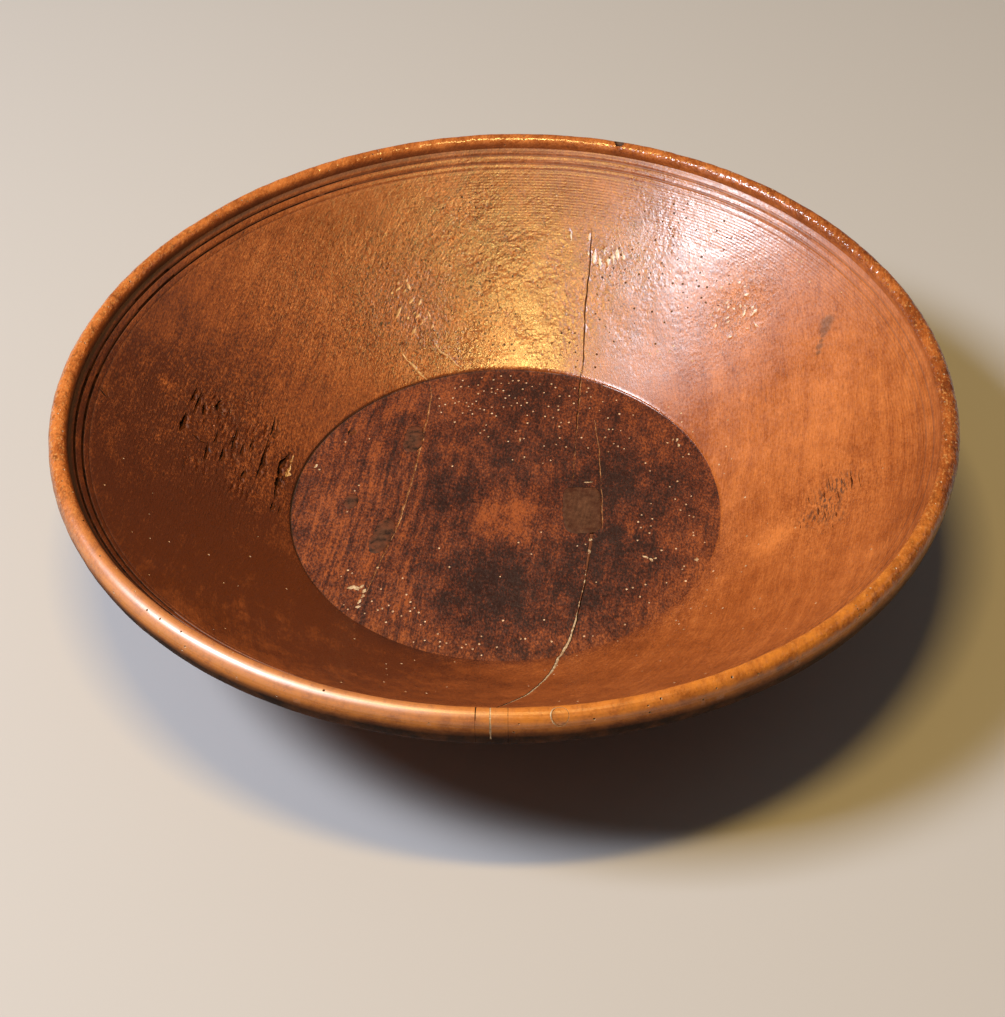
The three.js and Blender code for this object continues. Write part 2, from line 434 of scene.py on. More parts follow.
def bowlTone(tree, look, ragged):
    weights = woodWeights
    spotted = plus(tree, look.floorShare, look.bead, weights["beadMottle"])
    wallSpeck = between(tree, look.rippled, *weights["rippleSpeck"])
    level = 0.5
    for pattern, weight in (
            (look.rings, weights["rings"]),
            (look.fibre, between(tree, look.floorShare, *weights["fibre"])),
            (look.cloud, between(tree, look.floorShare, *weights["cloud"])),
            (look.speck, between(tree, look.floorShare, wallSpeck, weights["floorSpeck"])),
            (look.mottle, between(tree, spotted, *weights["mottle"])),
            (look.pitted, shaped(tree, look.torn, "tornPits")),
            (look.streaks, times(tree, look.streaky, weights["streaks"]))):
        level = leaning(tree, level, pattern, weight)
    breakUp = between(tree, look.floorShare, *weights["breakUp"])
    broken = plus(tree, 1.0, calc(tree, "SUBTRACT", ragged, 1.0), breakUp)
    return plus(tree, level, times(tree, look.tone, broken), between(tree, look.floorShare, *weights["tone"]))


def bowlColour(tree, spec, look, scarred):
    ragged = shaped(tree, look.ragged, "raggedness")
    level = bowlTone(tree, look, ragged)
    wall = ramped(tree, level, spec["wallSteps"], spec["wall"])
    floor = ramped(tree, level, spec["floorSteps"], spec["floor"])
    colour = mixed(tree, look.floorShare, wall, floor)
    # Darker colour from dirt, pores and tool lines, and painted shade from the grime mask
    dirtAndShade = largest(tree,
                   times(tree, look.grime, shaped(tree, ragged, "dirtAndShadeBreakUp")),
                   times(tree, shaped(tree, look.tool, "toolDirt"), look.lathe),
                   times(tree, shaped(tree, look.sunk, "sunkDirt"), look.dimpled),
                   times(tree, look.pores, shaped(tree, look.rippled, "poreDirt")))
    # pale gold spots painted on the bead's sides as glints
    flaked = times(tree, shaped(tree, look.flaked, "glintSpotting"), look.dimpled)
    golden = times(tree, look.golden, shaped(tree, look.mottle, "goldSheenBreakUp"))
    # the flake colour paints glints on the bead and the gold colour paints a sheen on its top
    for share, name in ((dirtAndShade, "grime"), (look.stain, "stain"), (flaked, "flake"), (scarred, "scar"), (golden, "goldSheenColour")):
        colour = mixed(tree, share, colour, spec[name])
    return colour


def bowlRoughness(tree, look):
    weights = woodWeights
    rough = plus(tree, shaped(tree, look.cloud, "cloudRoughness"), look.gloss, weights["glossRoughness"])
    rough = plus(tree, rough, look.floorShare, weights["floorRoughness"])
    rough = largest(tree, leaning(tree, rough, look.pitted, weights["pitRoughness"]), weights["leastRoughness"])
    return plus(tree, rough, look.grime, weights["grimeAndShadeRoughness"])


def bowlRelief(tree, look, scarred):
    weights = woodWeights
    onBead = times(tree, look.dimpled, weights["beadHammer"])
    hammer = plus(tree, onBead, look.rippled, shaped(tree, look.patchy, "ripplePatches"))
    relief = 0.0
    for pattern, height in (
            (look.fibre, shaped(tree, look.torn, "fibreRelief")),
            (look.dashes, shaped(tree, look.torn, "dashRelief")),
            (times(tree, look.tool, look.lathe), weights["toolRelief"]),
            (look.pitted, shaped(tree, look.torn, "pitRelief")),
            (look.hammered, hammer),
            (times(tree, look.speck, look.floorShare), weights["speckRelief"]),
            (scarred, weights["scarRelief"])):
        relief = plus(tree, relief, pattern, height)
    return relief


def makeBowlWood(name, spec, figure, lines, specular=0.9):
    material, shader, tree, place = newMaterial(name, specular)
    look = bowlPatterns(tree, place, figure, lines)
    scarred = times(tree, shaped(tree, look.dashes, "scarring"), look.scar)
    wire(tree, bowlColour(tree, spec, look, scarred), shader.inputs["Base Color"])
    wire(tree, bowlRoughness(tree, look), shader.inputs["Roughness"])
    bumped(tree, shader, bowlRelief(tree, look, scarred), spec["fibreDepth"])
    shader.inputs["Coat Roughness"].default_value = spec["waxRoughness"]
    shader.inputs["Coat IOR"].default_value = spec["waxIor"]
    wire(tree, look.waxed, shader.inputs["Coat Weight"])
    return material


# Share of colour lost towards the edge of a let-in piece, broken up by noise
def wornEdge(tree, place):
    broken = ranged(tree, blotch(tree, place, 260.0, 4.0, 0.7), 0.38, 0.62)
    return times(tree, mask(tree, "edge"), broken)


patchFinish = {
    "colours": ((0.032, 0.012, 0.007), (0.180, 0.074, 0.035)),
    "steps": (0.3, 0.7),
    "worn": (0.060, 0.016, 0.007, 1),
    "cloud": (210.0, 5.0, 0.72),
    "cloudTone": 0.65,
    "fibreTone": 0.35,
    "roughness": (0.3, 0.7, 0.40, 0.54),
    "fibreDepth": 0.16 * mm,
}


def makePatchWood(figure):
    spec = patchFinish
    material, shader, tree, place = newMaterial("patchWood")
    fibre = placed(tree, figure, place=place, pithAside=120.0, fibreWidth=1.2)["fibre"]
    cloud = blotch(tree, place, *spec["cloud"])
    level = plus(tree, times(tree, cloud, spec["cloudTone"]), fibre, spec["fibreTone"])
    colour = ramped(tree, level, spec["steps"], spec["colours"])
    wire(tree, mixed(tree, wornEdge(tree, place), colour, spec["worn"]), shader.inputs["Base Color"])
    wire(tree, ranged(tree, cloud, *spec["roughness"]), shader.inputs["Roughness"])
    bumped(tree, shader, fibre, spec["fibreDepth"])
    return material


# Wax, putty, worm dust, broken wood, near black painted shade for splits and cut lines, and pale flecks painted as
# glints share one recipe, two colours broken up by noise:
# deep colour, light colour, noise scale, roughness, relief in millimetres, specular
plainFinishes = {
    "darkStopping": ((0.020, 0.008, 0.005), (0.115, 0.047, 0.023), 260.0, 0.60, 0.35, 0.4),
    "palePutty": ((0.330, 0.180, 0.085), (0.780, 0.600, 0.380), 700.0, 0.75, 0.25, 0.4),
    "splitPutty": ((0.300, 0.160, 0.075), (0.800, 0.620, 0.400), 620.0, 0.75, 0.25, 0.4),
    "wormDust": ((0.380, 0.200, 0.100), (0.860, 0.640, 0.430), 500.0, 0.80, 0.15, 0.4),
    "splitShade": ((0.006, 0.003, 0.002), (0.045, 0.018, 0.008), 300.0, 0.80, 0.30, 0.1),
    # near black in the cut lines, for dirt and painted shade
    "lineDirtAndShade": ((0.008, 0.003, 0.001), (0.060, 0.018, 0.005), 220.0, 0.75, 0.20, 0.1),
    "splitLip": ((0.160, 0.050, 0.012), (0.420, 0.180, 0.060), 350.0, 0.65, 0.25, 0.4),
    "tornWood": ((0.040, 0.010, 0.003), (0.230, 0.062, 0.015), 500.0, 0.60, 0.35, 0.25),
    # pale flecks painted as glints
    "whiteGlintFleck": ((0.720, 0.500, 0.310), (0.980, 0.900, 0.780), 600.0, 0.30, 0.20, 0.4),
    "goldGlintFleck": ((0.420, 0.190, 0.055), (0.920, 0.600, 0.270), 600.0, 0.30, 0.20, 0.4),
    "rawWood": ((0.200, 0.070, 0.024), (0.640, 0.350, 0.160), 450.0, 0.50, 0.30, 0.4),
}
wornColours = {"darkStopping": (0.150, 0.036, 0.012, 1), "splitPutty": (0.160, 0.050, 0.018, 1)}
plainSteps = (0.32, 0.66)
roughnessSpread = 0.08


def makePlain(name):
    deep, light, scale, roughness, depth, specular = plainFinishes[name]
    material, shader, tree, place = newMaterial(name, specular)
    cloud = blotch(tree, place, scale, 3.0, 0.6)
    colour = ramped(tree, cloud, plainSteps, (deep, light))
    if name in wornColours:
        colour = mixed(tree, wornEdge(tree, place), colour, wornColours[name])
    wire(tree, colour, shader.inputs["Base Color"])
    rough = ranged(tree, cloud, 0.3, 0.7, roughness - roughnessSpread, roughness + roughnessSpread)
    wire(tree, rough, shader.inputs["Roughness"])
    bumped(tree, shader, cloud, depth * mm)
    return material


# Mesh helpers

def addObject(name, verts, faces, material=None):
    mesh = bpy.data.meshes.new(name)
    mesh.from_pydata([tuple(vert) for vert in verts], [], faces)
    if material:
        mesh.materials.append(material)
    return linked(name, mesh)


def faceOut(made):
    work = bmesh.new()
    work.from_mesh(made.data)
    bmesh.ops.recalc_face_normals(work, faces=work.faces)
    work.to_mesh(made.data)
    work.free()


# Rings of points joined to a tube with flat ends, or to a loop
def addTube(name, rings, material, loop=False):
    count, sides = len(rings), len(rings[0])
    faces = []
    for i in range(count if loop else count - 1):
        near, far = i * sides, (i + 1) % count * sides
        faces += [(near + j, near + (j + 1) % sides, far + (j + 1) % sides, far + j) for j in range(sides)]
    if not loop:
        faces += [tuple(range(sides))[::-1], tuple((count - 1) * sides + j for j in range(sides))]
    made = addObject(name, [vert for ring in rings for vert in ring], faces, material)
    faceOut(made)
    return made


def bake(made):
    graph = bpy.context.evaluated_depsgraph_get()
    mesh = bpy.data.meshes.new_from_object(made.evaluated_get(graph))
    old = made.data
    made.modifiers.clear()
    made.data = mesh
    mesh.name = made.name
    bpy.data.meshes.remove(old)


def discard(*objects):
    for item in objects:
        mesh = item.data
        bpy.data.objects.remove(item)
        bpy.data.meshes.remove(mesh)


# Cuts or joins with another object, which is used up
def combine(made, other, operation="DIFFERENCE"):
    step = made.modifiers.new("combine", "BOOLEAN")
    step.object = other
    step.operation = operation
    step.solver = "MANIFOLD"
    step.material_mode = "TRANSFER"
    bake(made)
    discard(other)


def united(pieces):
    whole = pieces[0]
    for piece in pieces[1:]:
        combine(whole, piece, "UNION")
    return whole


# Pieces that lie apart, as one object
def gather(name, pieces):
    work = bmesh.new()
    for piece in pieces:
        work.from_mesh(piece.data)
    mesh = bpy.data.meshes.new(name)
    work.to_mesh(mesh)
    work.free()
    mesh.materials.append(pieces[0].data.materials[0])
    discard(*pieces)
    return linked(name, mesh)


def smoothed(made, angle):
    made.data.shade_smooth()
    made.data.set_sharp_from_angle(angle=math.radians(angle))


def vertexArray(mesh):
    flat = np.zeros(len(mesh.vertices) * 3)
    mesh.vertices.foreach_get("co", flat)
    return flat.reshape(-1, 3)


def paintMask(mesh, name, values):
    layer = mesh.attributes.get(name) or mesh.attributes.new(name, "FLOAT", "POINT")
    layer.data.foreach_set("value", values.astype(np.float32))


def triangles(made):
    return sum(len(face.vertices) - 2 for face in made.data.polygons)


def ripple(x, y, z, size, seed=0.0):
    return noise.noise(Vector((x / size + seed, y / size - seed, z / size + 0.5 * seed)))


# From 0 to 1 as the value goes on from a start over a span
def rising(value, start, span):
    return np.clip((value - start) / span, 0, 1)


# 1 at the middle, falling off to both sides
def hump(value, middle, spread):
    return np.exp(-((value - middle) / spread) ** 2)


# The turned bowl

bowl = {
    "rimRadius": 210 * mm,
    "rimHeight": 91.5 * mm,
    "floorRadius": 105 * mm,
    "floorThickness": 15 * mm,
    "ledgeHeight": 1.2 * mm,
    "ledgeWidth": 0.5 * mm,
    # the ledge's edge is worn round: how far in, how high, in millimetres
    "ledgeProfile": [(-0.25, 1.24), (-0.02, 1.10), (0.16, 0.84), (0.34, 0.34), (0.52, 0.06), (0.9, 0.0)],
    "wallBelly": 3 * mm,
    "wallAtFloor": 11 * mm,
    "wallAtRim": 8 * mm,
    "footRound": 3 * mm,
    "outsideBelly": 4 * mm,
    "beadWidth": 8.8 * mm,
    "beadRise": 5 * mm,
    "beadDrop": 13 * mm,
    "beadTuck": math.radians(125),
    # lines cut in the wall: how far in from the bead, width, depth
    "lines": [(2.6 * mm, 1.4 * mm, 0.90 * mm), (5.9 * mm, 1.4 * mm, 0.85 * mm), (8.6 * mm, 1.0 * mm, 0.28 * mm)],
    "lineProfile": (-0.56, -0.42, -0.2, -0.06, 0.06, 0.2, 0.42, 0.56),    # rings across a line, in widths
    "lineWear": 0.40,        # least share of their depth left
    "deepLines": math.radians(190),    # where they are deepest
    "grainAngle": math.radians(75),
    "grainLift": 3 * mm,
    "columns": 384,
    "wallRows": 34,
    "beadRows": 26,
    "floorRows": 18,
    "outsideRows": 18,
    "footRows": 4,
    "baseRings": [(0.14, 8), (0.35, 4), (0.7, 2), (0.86, 2), (0.96, 2)],    # share of the radius, columns over
    "floorThinning": [(62 * mm, 1), (30 * mm, 2), (13 * mm, 4), (0, 8)],    # beyond this radius, columns over
}

wearSettings = {
    "unevenness": 0.40 * mm,
    "unevenSize": 38 * mm,
    "dimpleDepth": 0.32 * mm,
    "dimpleSize": 5.5 * mm,
    "seed": 4.0,
}

ledgeTop = bowl["floorThickness"] + bowl["ledgeHeight"]
beadFoot = bowl["rimRadius"] - bowl["beadWidth"]
beadMiddle = bowl["rimRadius"] - bowl["beadWidth"] / 2
beadLevel = bowl["rimHeight"] - bowl["beadRise"]
wallRun = beadFoot - bowl["floorRadius"]


def wallHeight(r):
    share = (r - bowl["floorRadius"]) / wallRun
    return ledgeTop + (beadLevel - ledgeTop) * share - 4 * bowl["wallBelly"] * share * (1 - share)


def wallSlope(r):
    share = (r - bowl["floorRadius"]) / wallRun
    return (beadLevel - ledgeTop - 4 * bowl["wallBelly"] * (1 - 2 * share)) / wallRun


def lineSink(r):
    sink = 0.0
    for inset, width, depth in bowl["lines"]:
        sink = sink + depth * np.clip(1 - np.abs(r - beadFoot + inset) / (width / 2), 0, 1) ** 0.9
    return sink


# Height after the wood has dried and moved
def seasoned(x, y, z):
    grain = bowl["grainAngle"]
    along = x * np.cos(grain) + y * np.sin(grain)
    across = y * np.cos(grain) - x * np.sin(grain)
    saddle = (along ** 2 - across ** 2) / bowl["rimRadius"] ** 2
    return z * (1 + bowl["grainLift"] / bowl["rimHeight"] * saddle)


def insideHeight(x, y):
    r = np.hypot(x, y)
    wall = wallHeight(np.clip(r, bowl["floorRadius"], beadFoot))
    onFloor = r < bowl["floorRadius"] - bowl["ledgeWidth"] / 2
    return seasoned(x, y, np.where(onFloor, bowl["floorThickness"], wall))


def curveThrough(start, pull, end, steps):
    shares = np.linspace(0, 1, steps + 1)[:, None]
    start, pull, end = np.array(start), np.array(pull), np.array(end)
    return (1 - shares) ** 2 * start + 2 * shares * (1 - shares) * pull + shares ** 2 * end


# Rows of the turned form, each a radius, a height and a column count

def outsideRows(columns):
    slope, footRound = wallSlope(bowl["floorRadius"]), bowl["footRound"]
    underLedge = ledgeTop - bowl["wallAtFloor"] * math.hypot(1, slope)
    foot = bowl["floorRadius"] + (footRound - underLedge) / slope
    quirk = (beadFoot, beadLevel - bowl["wallAtRim"] * math.hypot(1, wallSlope(beadFoot)))
    flat = foot - footRound
    corner = curveThrough((flat, 0), (foot, 0), (foot, footRound), bowl["footRows"])
    pull = ((foot + quirk[0]) / 2, (footRound + quirk[1]) / 2 - 2 * bowl["outsideBelly"])
    side = curveThrough((foot, footRound), pull, quirk, bowl["outsideRows"])[1:]
    rows = [(flat * share, 0, columns // fewer) for share, fewer in bowl["baseRings"]]
    rows += [(r, z, columns // 2) for r, z in (*corner, *side[:-1])]
    return rows + [(*side[-1], columns)]


def beadRows(columns):
    rows = []
    for angle in np.linspace(-bowl["beadTuck"], math.pi, bowl["beadRows"])[:-1]:
        tall = bowl["beadDrop"] if angle < 0 else bowl["beadRise"]
        r = beadMiddle + bowl["beadWidth"] / 2 * math.cos(angle)
        rows.append((r, beadLevel + tall * math.sin(angle), columns * 2))
    return rows


def insideRows(columns):
    floorRadius, floorLevel = bowl["floorRadius"], bowl["floorThickness"]
    radii = [beadFoot - 0.05 * mm, beadFoot - 0.9 * mm]
    for inset, width, depth in bowl["lines"]:
        radii += [beadFoot - inset - width * side for side in bowl["lineProfile"]]
    radii += list(np.linspace(radii[-1] - 1.2 * mm, floorRadius + 2.4 * mm, bowl["wallRows"]))
    radii += [floorRadius + 1.2 * mm, floorRadius + 0.6 * mm]
    rows = [(r, wallHeight(r), columns) for r in radii]
    rows += [(floorRadius - inset * mm, floorLevel + height * mm, columns) for inset, height in bowl["ledgeProfile"]]
    for r in np.linspace(floorRadius - bowl["ledgeWidth"] - 1.2 * mm, 4 * mm, bowl["floorRows"]):
        fewer = next(fewer for least, fewer in bowl["floorThinning"] if r > least)
        rows.append((r, floorLevel, columns // fewer))
    return rows


# Faces between neighbouring rows. Where the column count doubles or halves, three triangles take a quad's place.
def rowFaces(rows, starts):
    faces = []
    for i in range(len(rows) - 1):
        near, far = rows[i][2], rows[i + 1][2]
        a, b = starts[i], starts[i + 1]
        for j in range(min(near, far)):
            k = (j + 1) % min(near, far)
            if near == far:
                faces.append((a + j, a + k, b + k, b + j))
            elif far > near:
                middle = b + 2 * j + 1
                faces += [(a + j, middle, b + 2 * j), (a + j, a + k, middle), (a + k, b + 2 * k, middle)]
            else:
                middle = a + 2 * j + 1
                faces += [(a + 2 * j, middle, b + j), (middle, b + k, b + j), (middle, a + 2 * k, b + k)]
    return faces


# 1 on the front of the rim, where hands have worn the bead smooth
handWorn = {"middle": math.radians(-110), "start": 0.62, "span": 0.25}


def handled(x, y):
    return rising(np.cos(np.arctan2(y, x) - handWorn["middle"]), handWorn["start"], handWorn["span"])


def turnBlank(material):
    rows = outsideRows(bowl["columns"]) + beadRows(bowl["columns"]) + insideRows(bowl["columns"])
    verts, starts = [], []
    for r, z, count in rows:
        starts.append(len(verts))
        angles = np.arange(count) * 2 * math.pi / count
        verts += [(r * math.cos(a), r * math.sin(a), z) for a in angles]
    faces = rowFaces(rows, starts)
    for row, level, order in ((0, 0, -1), (-1, bowl["floorThickness"], 1)):
        pole, count = len(verts), rows[row][2]
        verts.append((0, 0, level))
        ring = [starts[row] + j for j in range(count)]
        faces += [(ring[j], ring[(j + 1) % count], pole)[::order] for j in range(count)]
    verts = np.array(verts)
    x, y = verts[:, 0], verts[:, 1]
    r, turn = np.hypot(x, y), np.arctan2(y, x)
    inLines = (r < beadFoot) & (verts[:, 2] > wallHeight(r) - 1 * mm)
    worn = np.clip(0.6 + 0.6 * np.cos(turn - bowl["deepLines"]), bowl["lineWear"], 1)
    verts[:, 2] -= np.where(inLines, lineSink(r) * worn, 0)
    verts[:, 2] = seasoned(x, y, verts[:, 2])
    blank = addObject("bowlWood", verts, faces, material)
    paintMask(blank.data, "wear", rising(verts[:, 2], 0, 6 * mm))
    onBead = rising(r, beadFoot, 1.5 * mm) * rising(verts[:, 2], 70 * mm, 6 * mm)
    paintMask(blank.data, "bead", onBead * (1 - 0.8 * handled(x, y)))
    return blank


# Years of handling: gentle unevenness all over, closer dimples on the bead
def handWear():
    tree, given, out = newGroup("handWear", "GeometryNodeTree", [
        ("mesh", "Geometry", None),
        ("unevenness", "Float", 0.0),
        ("unevenSize", "Float", 0.04),
        ("dimpleDepth", "Float", 0.0),
        ("dimpleSize", "Float", 0.005),
        ("seed", "Float", 0.0),
        ("material", "Material", None),
    ], [("mesh", "Geometry")])

    def depthMap(depth, size, share):
        pattern = newNode(tree, "ShaderNodeTexNoise", {
            "W": given["seed"],
            "Scale": calc(tree, "DIVIDE", 1.0, size),
            "Detail": 1.0,
        }, noise_dimensions="4D").outputs[0]
        worn = newNode(tree, "GeometryNodeInputNamedAttribute", {"Name": share}).outputs[0]
        lift = times(tree, calc(tree, "SUBTRACT", pattern, 0.5), times(tree, depth, 2.0))
        return times(tree, lift, worn)

    lift = calc(tree, "ADD", depthMap(given["unevenness"], given["unevenSize"], "wear"),
                depthMap(given["dimpleDepth"], given["dimpleSize"], "bead"))
    normal = newNode(tree, "GeometryNodeInputNormal", {}).outputs[0]
    moved = newNode(tree, "GeometryNodeSetPosition", {"Geometry": given["mesh"], "Offset": scaled(tree, normal, lift)})
    real = newNode(tree, "GeometryNodeRealizeInstances", {0: moved.outputs[0]})
    painted = newNode(tree, "GeometryNodeSetMaterial", {"Geometry": real.outputs[0], "Material": given["material"]})
    wire(tree, painted.outputs[0], out["mesh"])
    return tree


def growNodes(made, tree, values):
    step = made.modifiers.new(tree.name, "NODES")
    step.node_group = tree
    for item in tree.interface.items_tree:
        if item.in_out == "INPUT" and item.name in values:
            step[item.identifier] = values[item.name]
    bake(made)


# Routes on the inside surface, laid on the blank as it is after wear

skyHeight = 0.2              # rays fall on the bowl from here


def findSurface(made):
    return BVHTree.FromPolygons([v.co for v in made.data.vertices], [f.vertices for f in made.data.polygons])


def raysDown(x, y):
    return [(Vector((px, py, skyHeight)), Vector((0, 0, -1))) for px, py in zip(x, y)]


def surfaceHeight(x, y):
    return np.array([blankSurface.ray_cast(*ray)[0].z for ray in raysDown(x, y)])


def spaced(points, step):
    points = np.array(points) * mm
    lengths = np.r_[0, np.cumsum(np.hypot(*np.diff(points, axis=0).T))]
    places = np.linspace(0, lengths[-1], max(3, int(lengths[-1] / step) + 1))
    return np.c_[np.interp(places, lengths, points[:, 0]), np.interp(places, lengths, points[:, 1])]


def surfaceFrames(route):
    reach = 1.5 * mm
    x, y = route.T
    fall = np.c_[insideHeight(x + reach, y) - insideHeight(x - reach, y),
                 insideHeight(x, y + reach) - insideHeight(x, y - reach)] / (2 * reach)
    normal = np.c_[-fall, np.ones(len(x))]
    normal /= np.linalg.norm(normal, axis=1)[:, None]
    place = np.c_[x, y, surfaceHeight(x, y)]
    aside = np.cross(normal, np.gradient(place, axis=0))
    aside /= np.linalg.norm(aside, axis=1)[:, None]
    return place, aside, normal


# A closed strip along a route, its section given as (aside, height) pairs for each station
def strip(name, route, section, material):
    last = len(route) - 1
    rings = [[at + aside * across + normal * height for across, height in section(i / last, at)]
             for i, (at, aside, normal) in enumerate(zip(*surfaceFrames(route)))]
    return addTube(name, rings, material)


def wandering(points, step, sway, seed):
    route = spaced(points, step)
    sideways = np.gradient(route, axis=0)[:, ::-1] * (-1, 1)
    sideways /= np.linalg.norm(sideways, axis=1)[:, None]
    drift = np.array([ripple(x, y, 0, 9 * mm, seed) + 0.5 * ripple(x, y, 0, 3 * mm, seed) for x, y in route])
    ends = np.minimum(1, np.minimum(np.arange(len(route)), np.arange(len(route))[::-1]) / 2)
    return route + sideways * (drift * ends * sway)[:, None]


crackSettings = {
    "sway": 0.5 * mm,
    "lift": 0.8 * mm,        # the cutter stands this far out of the wood
    "blunt": 0.12,           # share of the width left at the ends
    "narrowest": 0.25,
}


# A pointed cut that closes towards both ends
def crack(points, width, depth, finish, seed, step=1.6 * mm, fray=0.5, taper=6, lean=0.1):
    lift, blunt = crackSettings["lift"], crackSettings["blunt"]

    def section(share, at):
        closing = min(1, taper * share + blunt, taper * (1 - share) + blunt)
        rag = ripple(*at, 4 * mm, seed + 7) + ripple(*at, 1.7 * mm, seed + 3)
        half = width / 2 * closing * max(crackSettings["narrowest"], 1 + fray * rag)
        deep = depth * closing
        half *= (deep + lift) / deep
        return [(half, lift), (-half, lift), (lean * half, -deep)]

    return strip("crack", wandering(points, step, crackSettings["sway"], seed), section, finishes[finish])


makeCamera()
makeStudio()
print("camera, floor and light are set")

figure, lines = woodFigure(), toolLines()
finishes = {name: makePlain(name) for name in plainFinishes}
finishes["patchWood"] = makePatchWood(figure)
for name, finish, specular in (
        ("bowlWood", bowlFinish, 0.9),
        ("rimWood", rimFinish, 0.9),
        ("outsideWood", bowlFinish, 0.12),    # not waxed, dull
        ("lowerWood", bowlFinish, 0.4)):      # between bowl and outside
    finishes[name] = makeBowlWood(name, finish, figure, lines, specular)
print("materials:", ", ".join(sorted(finishes)))

# Patches of wall torn along the grain, plus one stained patch: place and half size in millimetres, depth of
# the torn fibres, and how far the fibres lean from straight back. They get a finer mesh.
roughPatches = {
    "leftWall": {"x": -131, "y": 22, "wide": 33, "long": 40, "depth": 1.15 * mm, "lean": 9},
    "rightWall": {"x": 150, "y": -38, "wide": 18, "long": 24, "depth": 0.45 * mm, "lean": 2},
    "stain": {"x": 160, "y": 68, "wide": 8, "long": 13, "depth": 0.0, "lean": 0},
}
roughSettings = {"cuts": 3, "fibreWidth": 1.3 * mm, "fibreLength": 9 * mm, "patchSize": 13 * mm}


def patchShare(x, y, spec):
    return 1 - ((x - spec["x"] * mm) / (spec["wide"] * mm)) ** 2 - ((y - spec["y"] * mm) / (spec["long"] * mm)) ** 2


def tornDepth(place, spec):
    share = patchShare(place.x, place.y, spec)
    if share <= 0:
        return 0.0
    swing = math.radians(90 - spec["lean"])
    forward = place.x * math.cos(swing) + place.y * math.sin(swing)
    aside = place.x * math.sin(swing) - place.y * math.cos(swing)
    thick, long = roughSettings["fibreWidth"], roughSettings["fibreLength"]
    torn = noise.noise(Vector((aside / thick, forward / long, place.z / thick)))
    fine = noise.noise(Vector((aside / thick * 1.9 + 40, forward / long * 2.2, place.z / thick)))
    whole = min(1, max(0.12, 0.45 + 1.3 * ripple(*place, roughSettings["patchSize"], 6.0)))
    return spec["depth"] * min(1, 1.6 * share) * whole * (1.5 * max(0, torn) + 0.45 * fine)


def insidePatches(points):
    x, y, z = points.T
    share = np.max([patchShare(x, y, spec) for spec in roughPatches.values()], axis=0)
    return np.nonzero((share > 0) & (z > insideHeight(x, y) - 2 * mm))[0]


def roughen(made):
    work = bmesh.new()
    work.from_mesh(made.data)
    work.faces.ensure_lookup_table()
    edges = set()
    for index in insidePatches(np.array([face.calc_center_median() for face in work.faces])):
        edges.update(work.faces[index].edges)
    bmesh.ops.subdivide_edges(work, edges=list(edges), cuts=roughSettings["cuts"], use_grid_fill=True)
    work.normal_update()
    work.verts.ensure_lookup_table()
    moves = []
    for index in insidePatches(np.array([vert.co for vert in work.verts])):
        vert = work.verts[index]
        moves.append((vert, vert.normal * sum(tornDepth(vert.co, spec) for spec in roughPatches.values())))
    for vert, move in moves:
        vert.co -= move
    work.to_mesh(made.data)
    work.free()


body = turnBlank(finishes["bowlWood"])
growNodes(body, handWear(), {**wearSettings, "material": finishes["bowlWood"]})
roughen(body)
blankSurface = findSurface(body)
print("blank turned:", triangles(body), "triangles")


# Repairs let into the floor, with a small gap all round. Sizes are in millimetres, turns in degrees.

floorRepairs = {
    "floor_patch": {
        "name": "floorPatch", "finish": "patchWood", "slot": "patch_wood",
        "x": 37.4, "y": -3.4, "width": 18.5, "length": 33, "turn": -1,
        "square": 5.0, "depth": 5, "dome": -0.15, "ragged": 1.3,
    },
    "shake_stopping_back": {
        "name": "stoppingBack", "finish": "darkStopping", "slot": "dark_stopping",
        "x": -45.7, "y": 51.4, "width": 9.5, "length": 20.5, "turn": -6,
        "square": 2.6, "depth": 4, "dome": 0.10, "ragged": 2.6,
    },
    "shake_stopping_front": {
        "name": "stoppingFront", "finish": "darkStopping", "slot": "dark_stopping",
        "x": -59.5, "y": -19, "width": 9.7, "length": 25, "turn": -16,
        "square": 2.6, "depth": 4, "dome": 0.10, "ragged": 2.6,
    },
    "shake_stopping_side": {
        "name": "stoppingSide", "finish": "darkStopping", "slot": "dark_stopping",
        "x": -75.4, "y": 5, "width": 7, "length": 10.4, "turn": -10,
        "square": 2.2, "depth": 3, "dome": 0.10, "ragged": 1.4,
    },
}
repairSettings = {
    "gap": 0.08 * mm,
    "outlineSteps": 56,
    "edgeRound": 0.18 * mm,
    "rings": 7,
    "lumps": 0.05 * mm,
    "above": 6 * mm,         # the pocket's cutter stands this far out of the floor
}


def repairOutline(spec, grow):
    steps, power = repairSettings["outlineSteps"], spec["square"]
    angles = np.arange(steps) * 2 * math.pi / steps
    reach = (np.abs(np.cos(angles)) ** power + np.abs(np.sin(angles)) ** power) ** (-1 / power)
    x, y = reach * np.cos(angles) * (spec["width"] / 2 * mm), reach * np.sin(angles) * (spec["length"] / 2 * mm)
    rag = np.array([ripple(px, py, spec["depth"], 4 * mm, 3.0) + 0.5 * ripple(px, py, 1, 1.6 * mm, 5.0)
                    for px, py in zip(x, y)])
    factor = 1 + (rag * spec["ragged"] * 0.5 * mm + grow) / np.hypot(x, y)
    x, y = x * factor, y * factor
    swing = math.radians(spec["turn"])
    return np.c_[spec["x"] * mm + x * math.cos(swing) - y * math.sin(swing),
                 spec["y"] * mm + x * math.sin(swing) + y * math.cos(swing)]


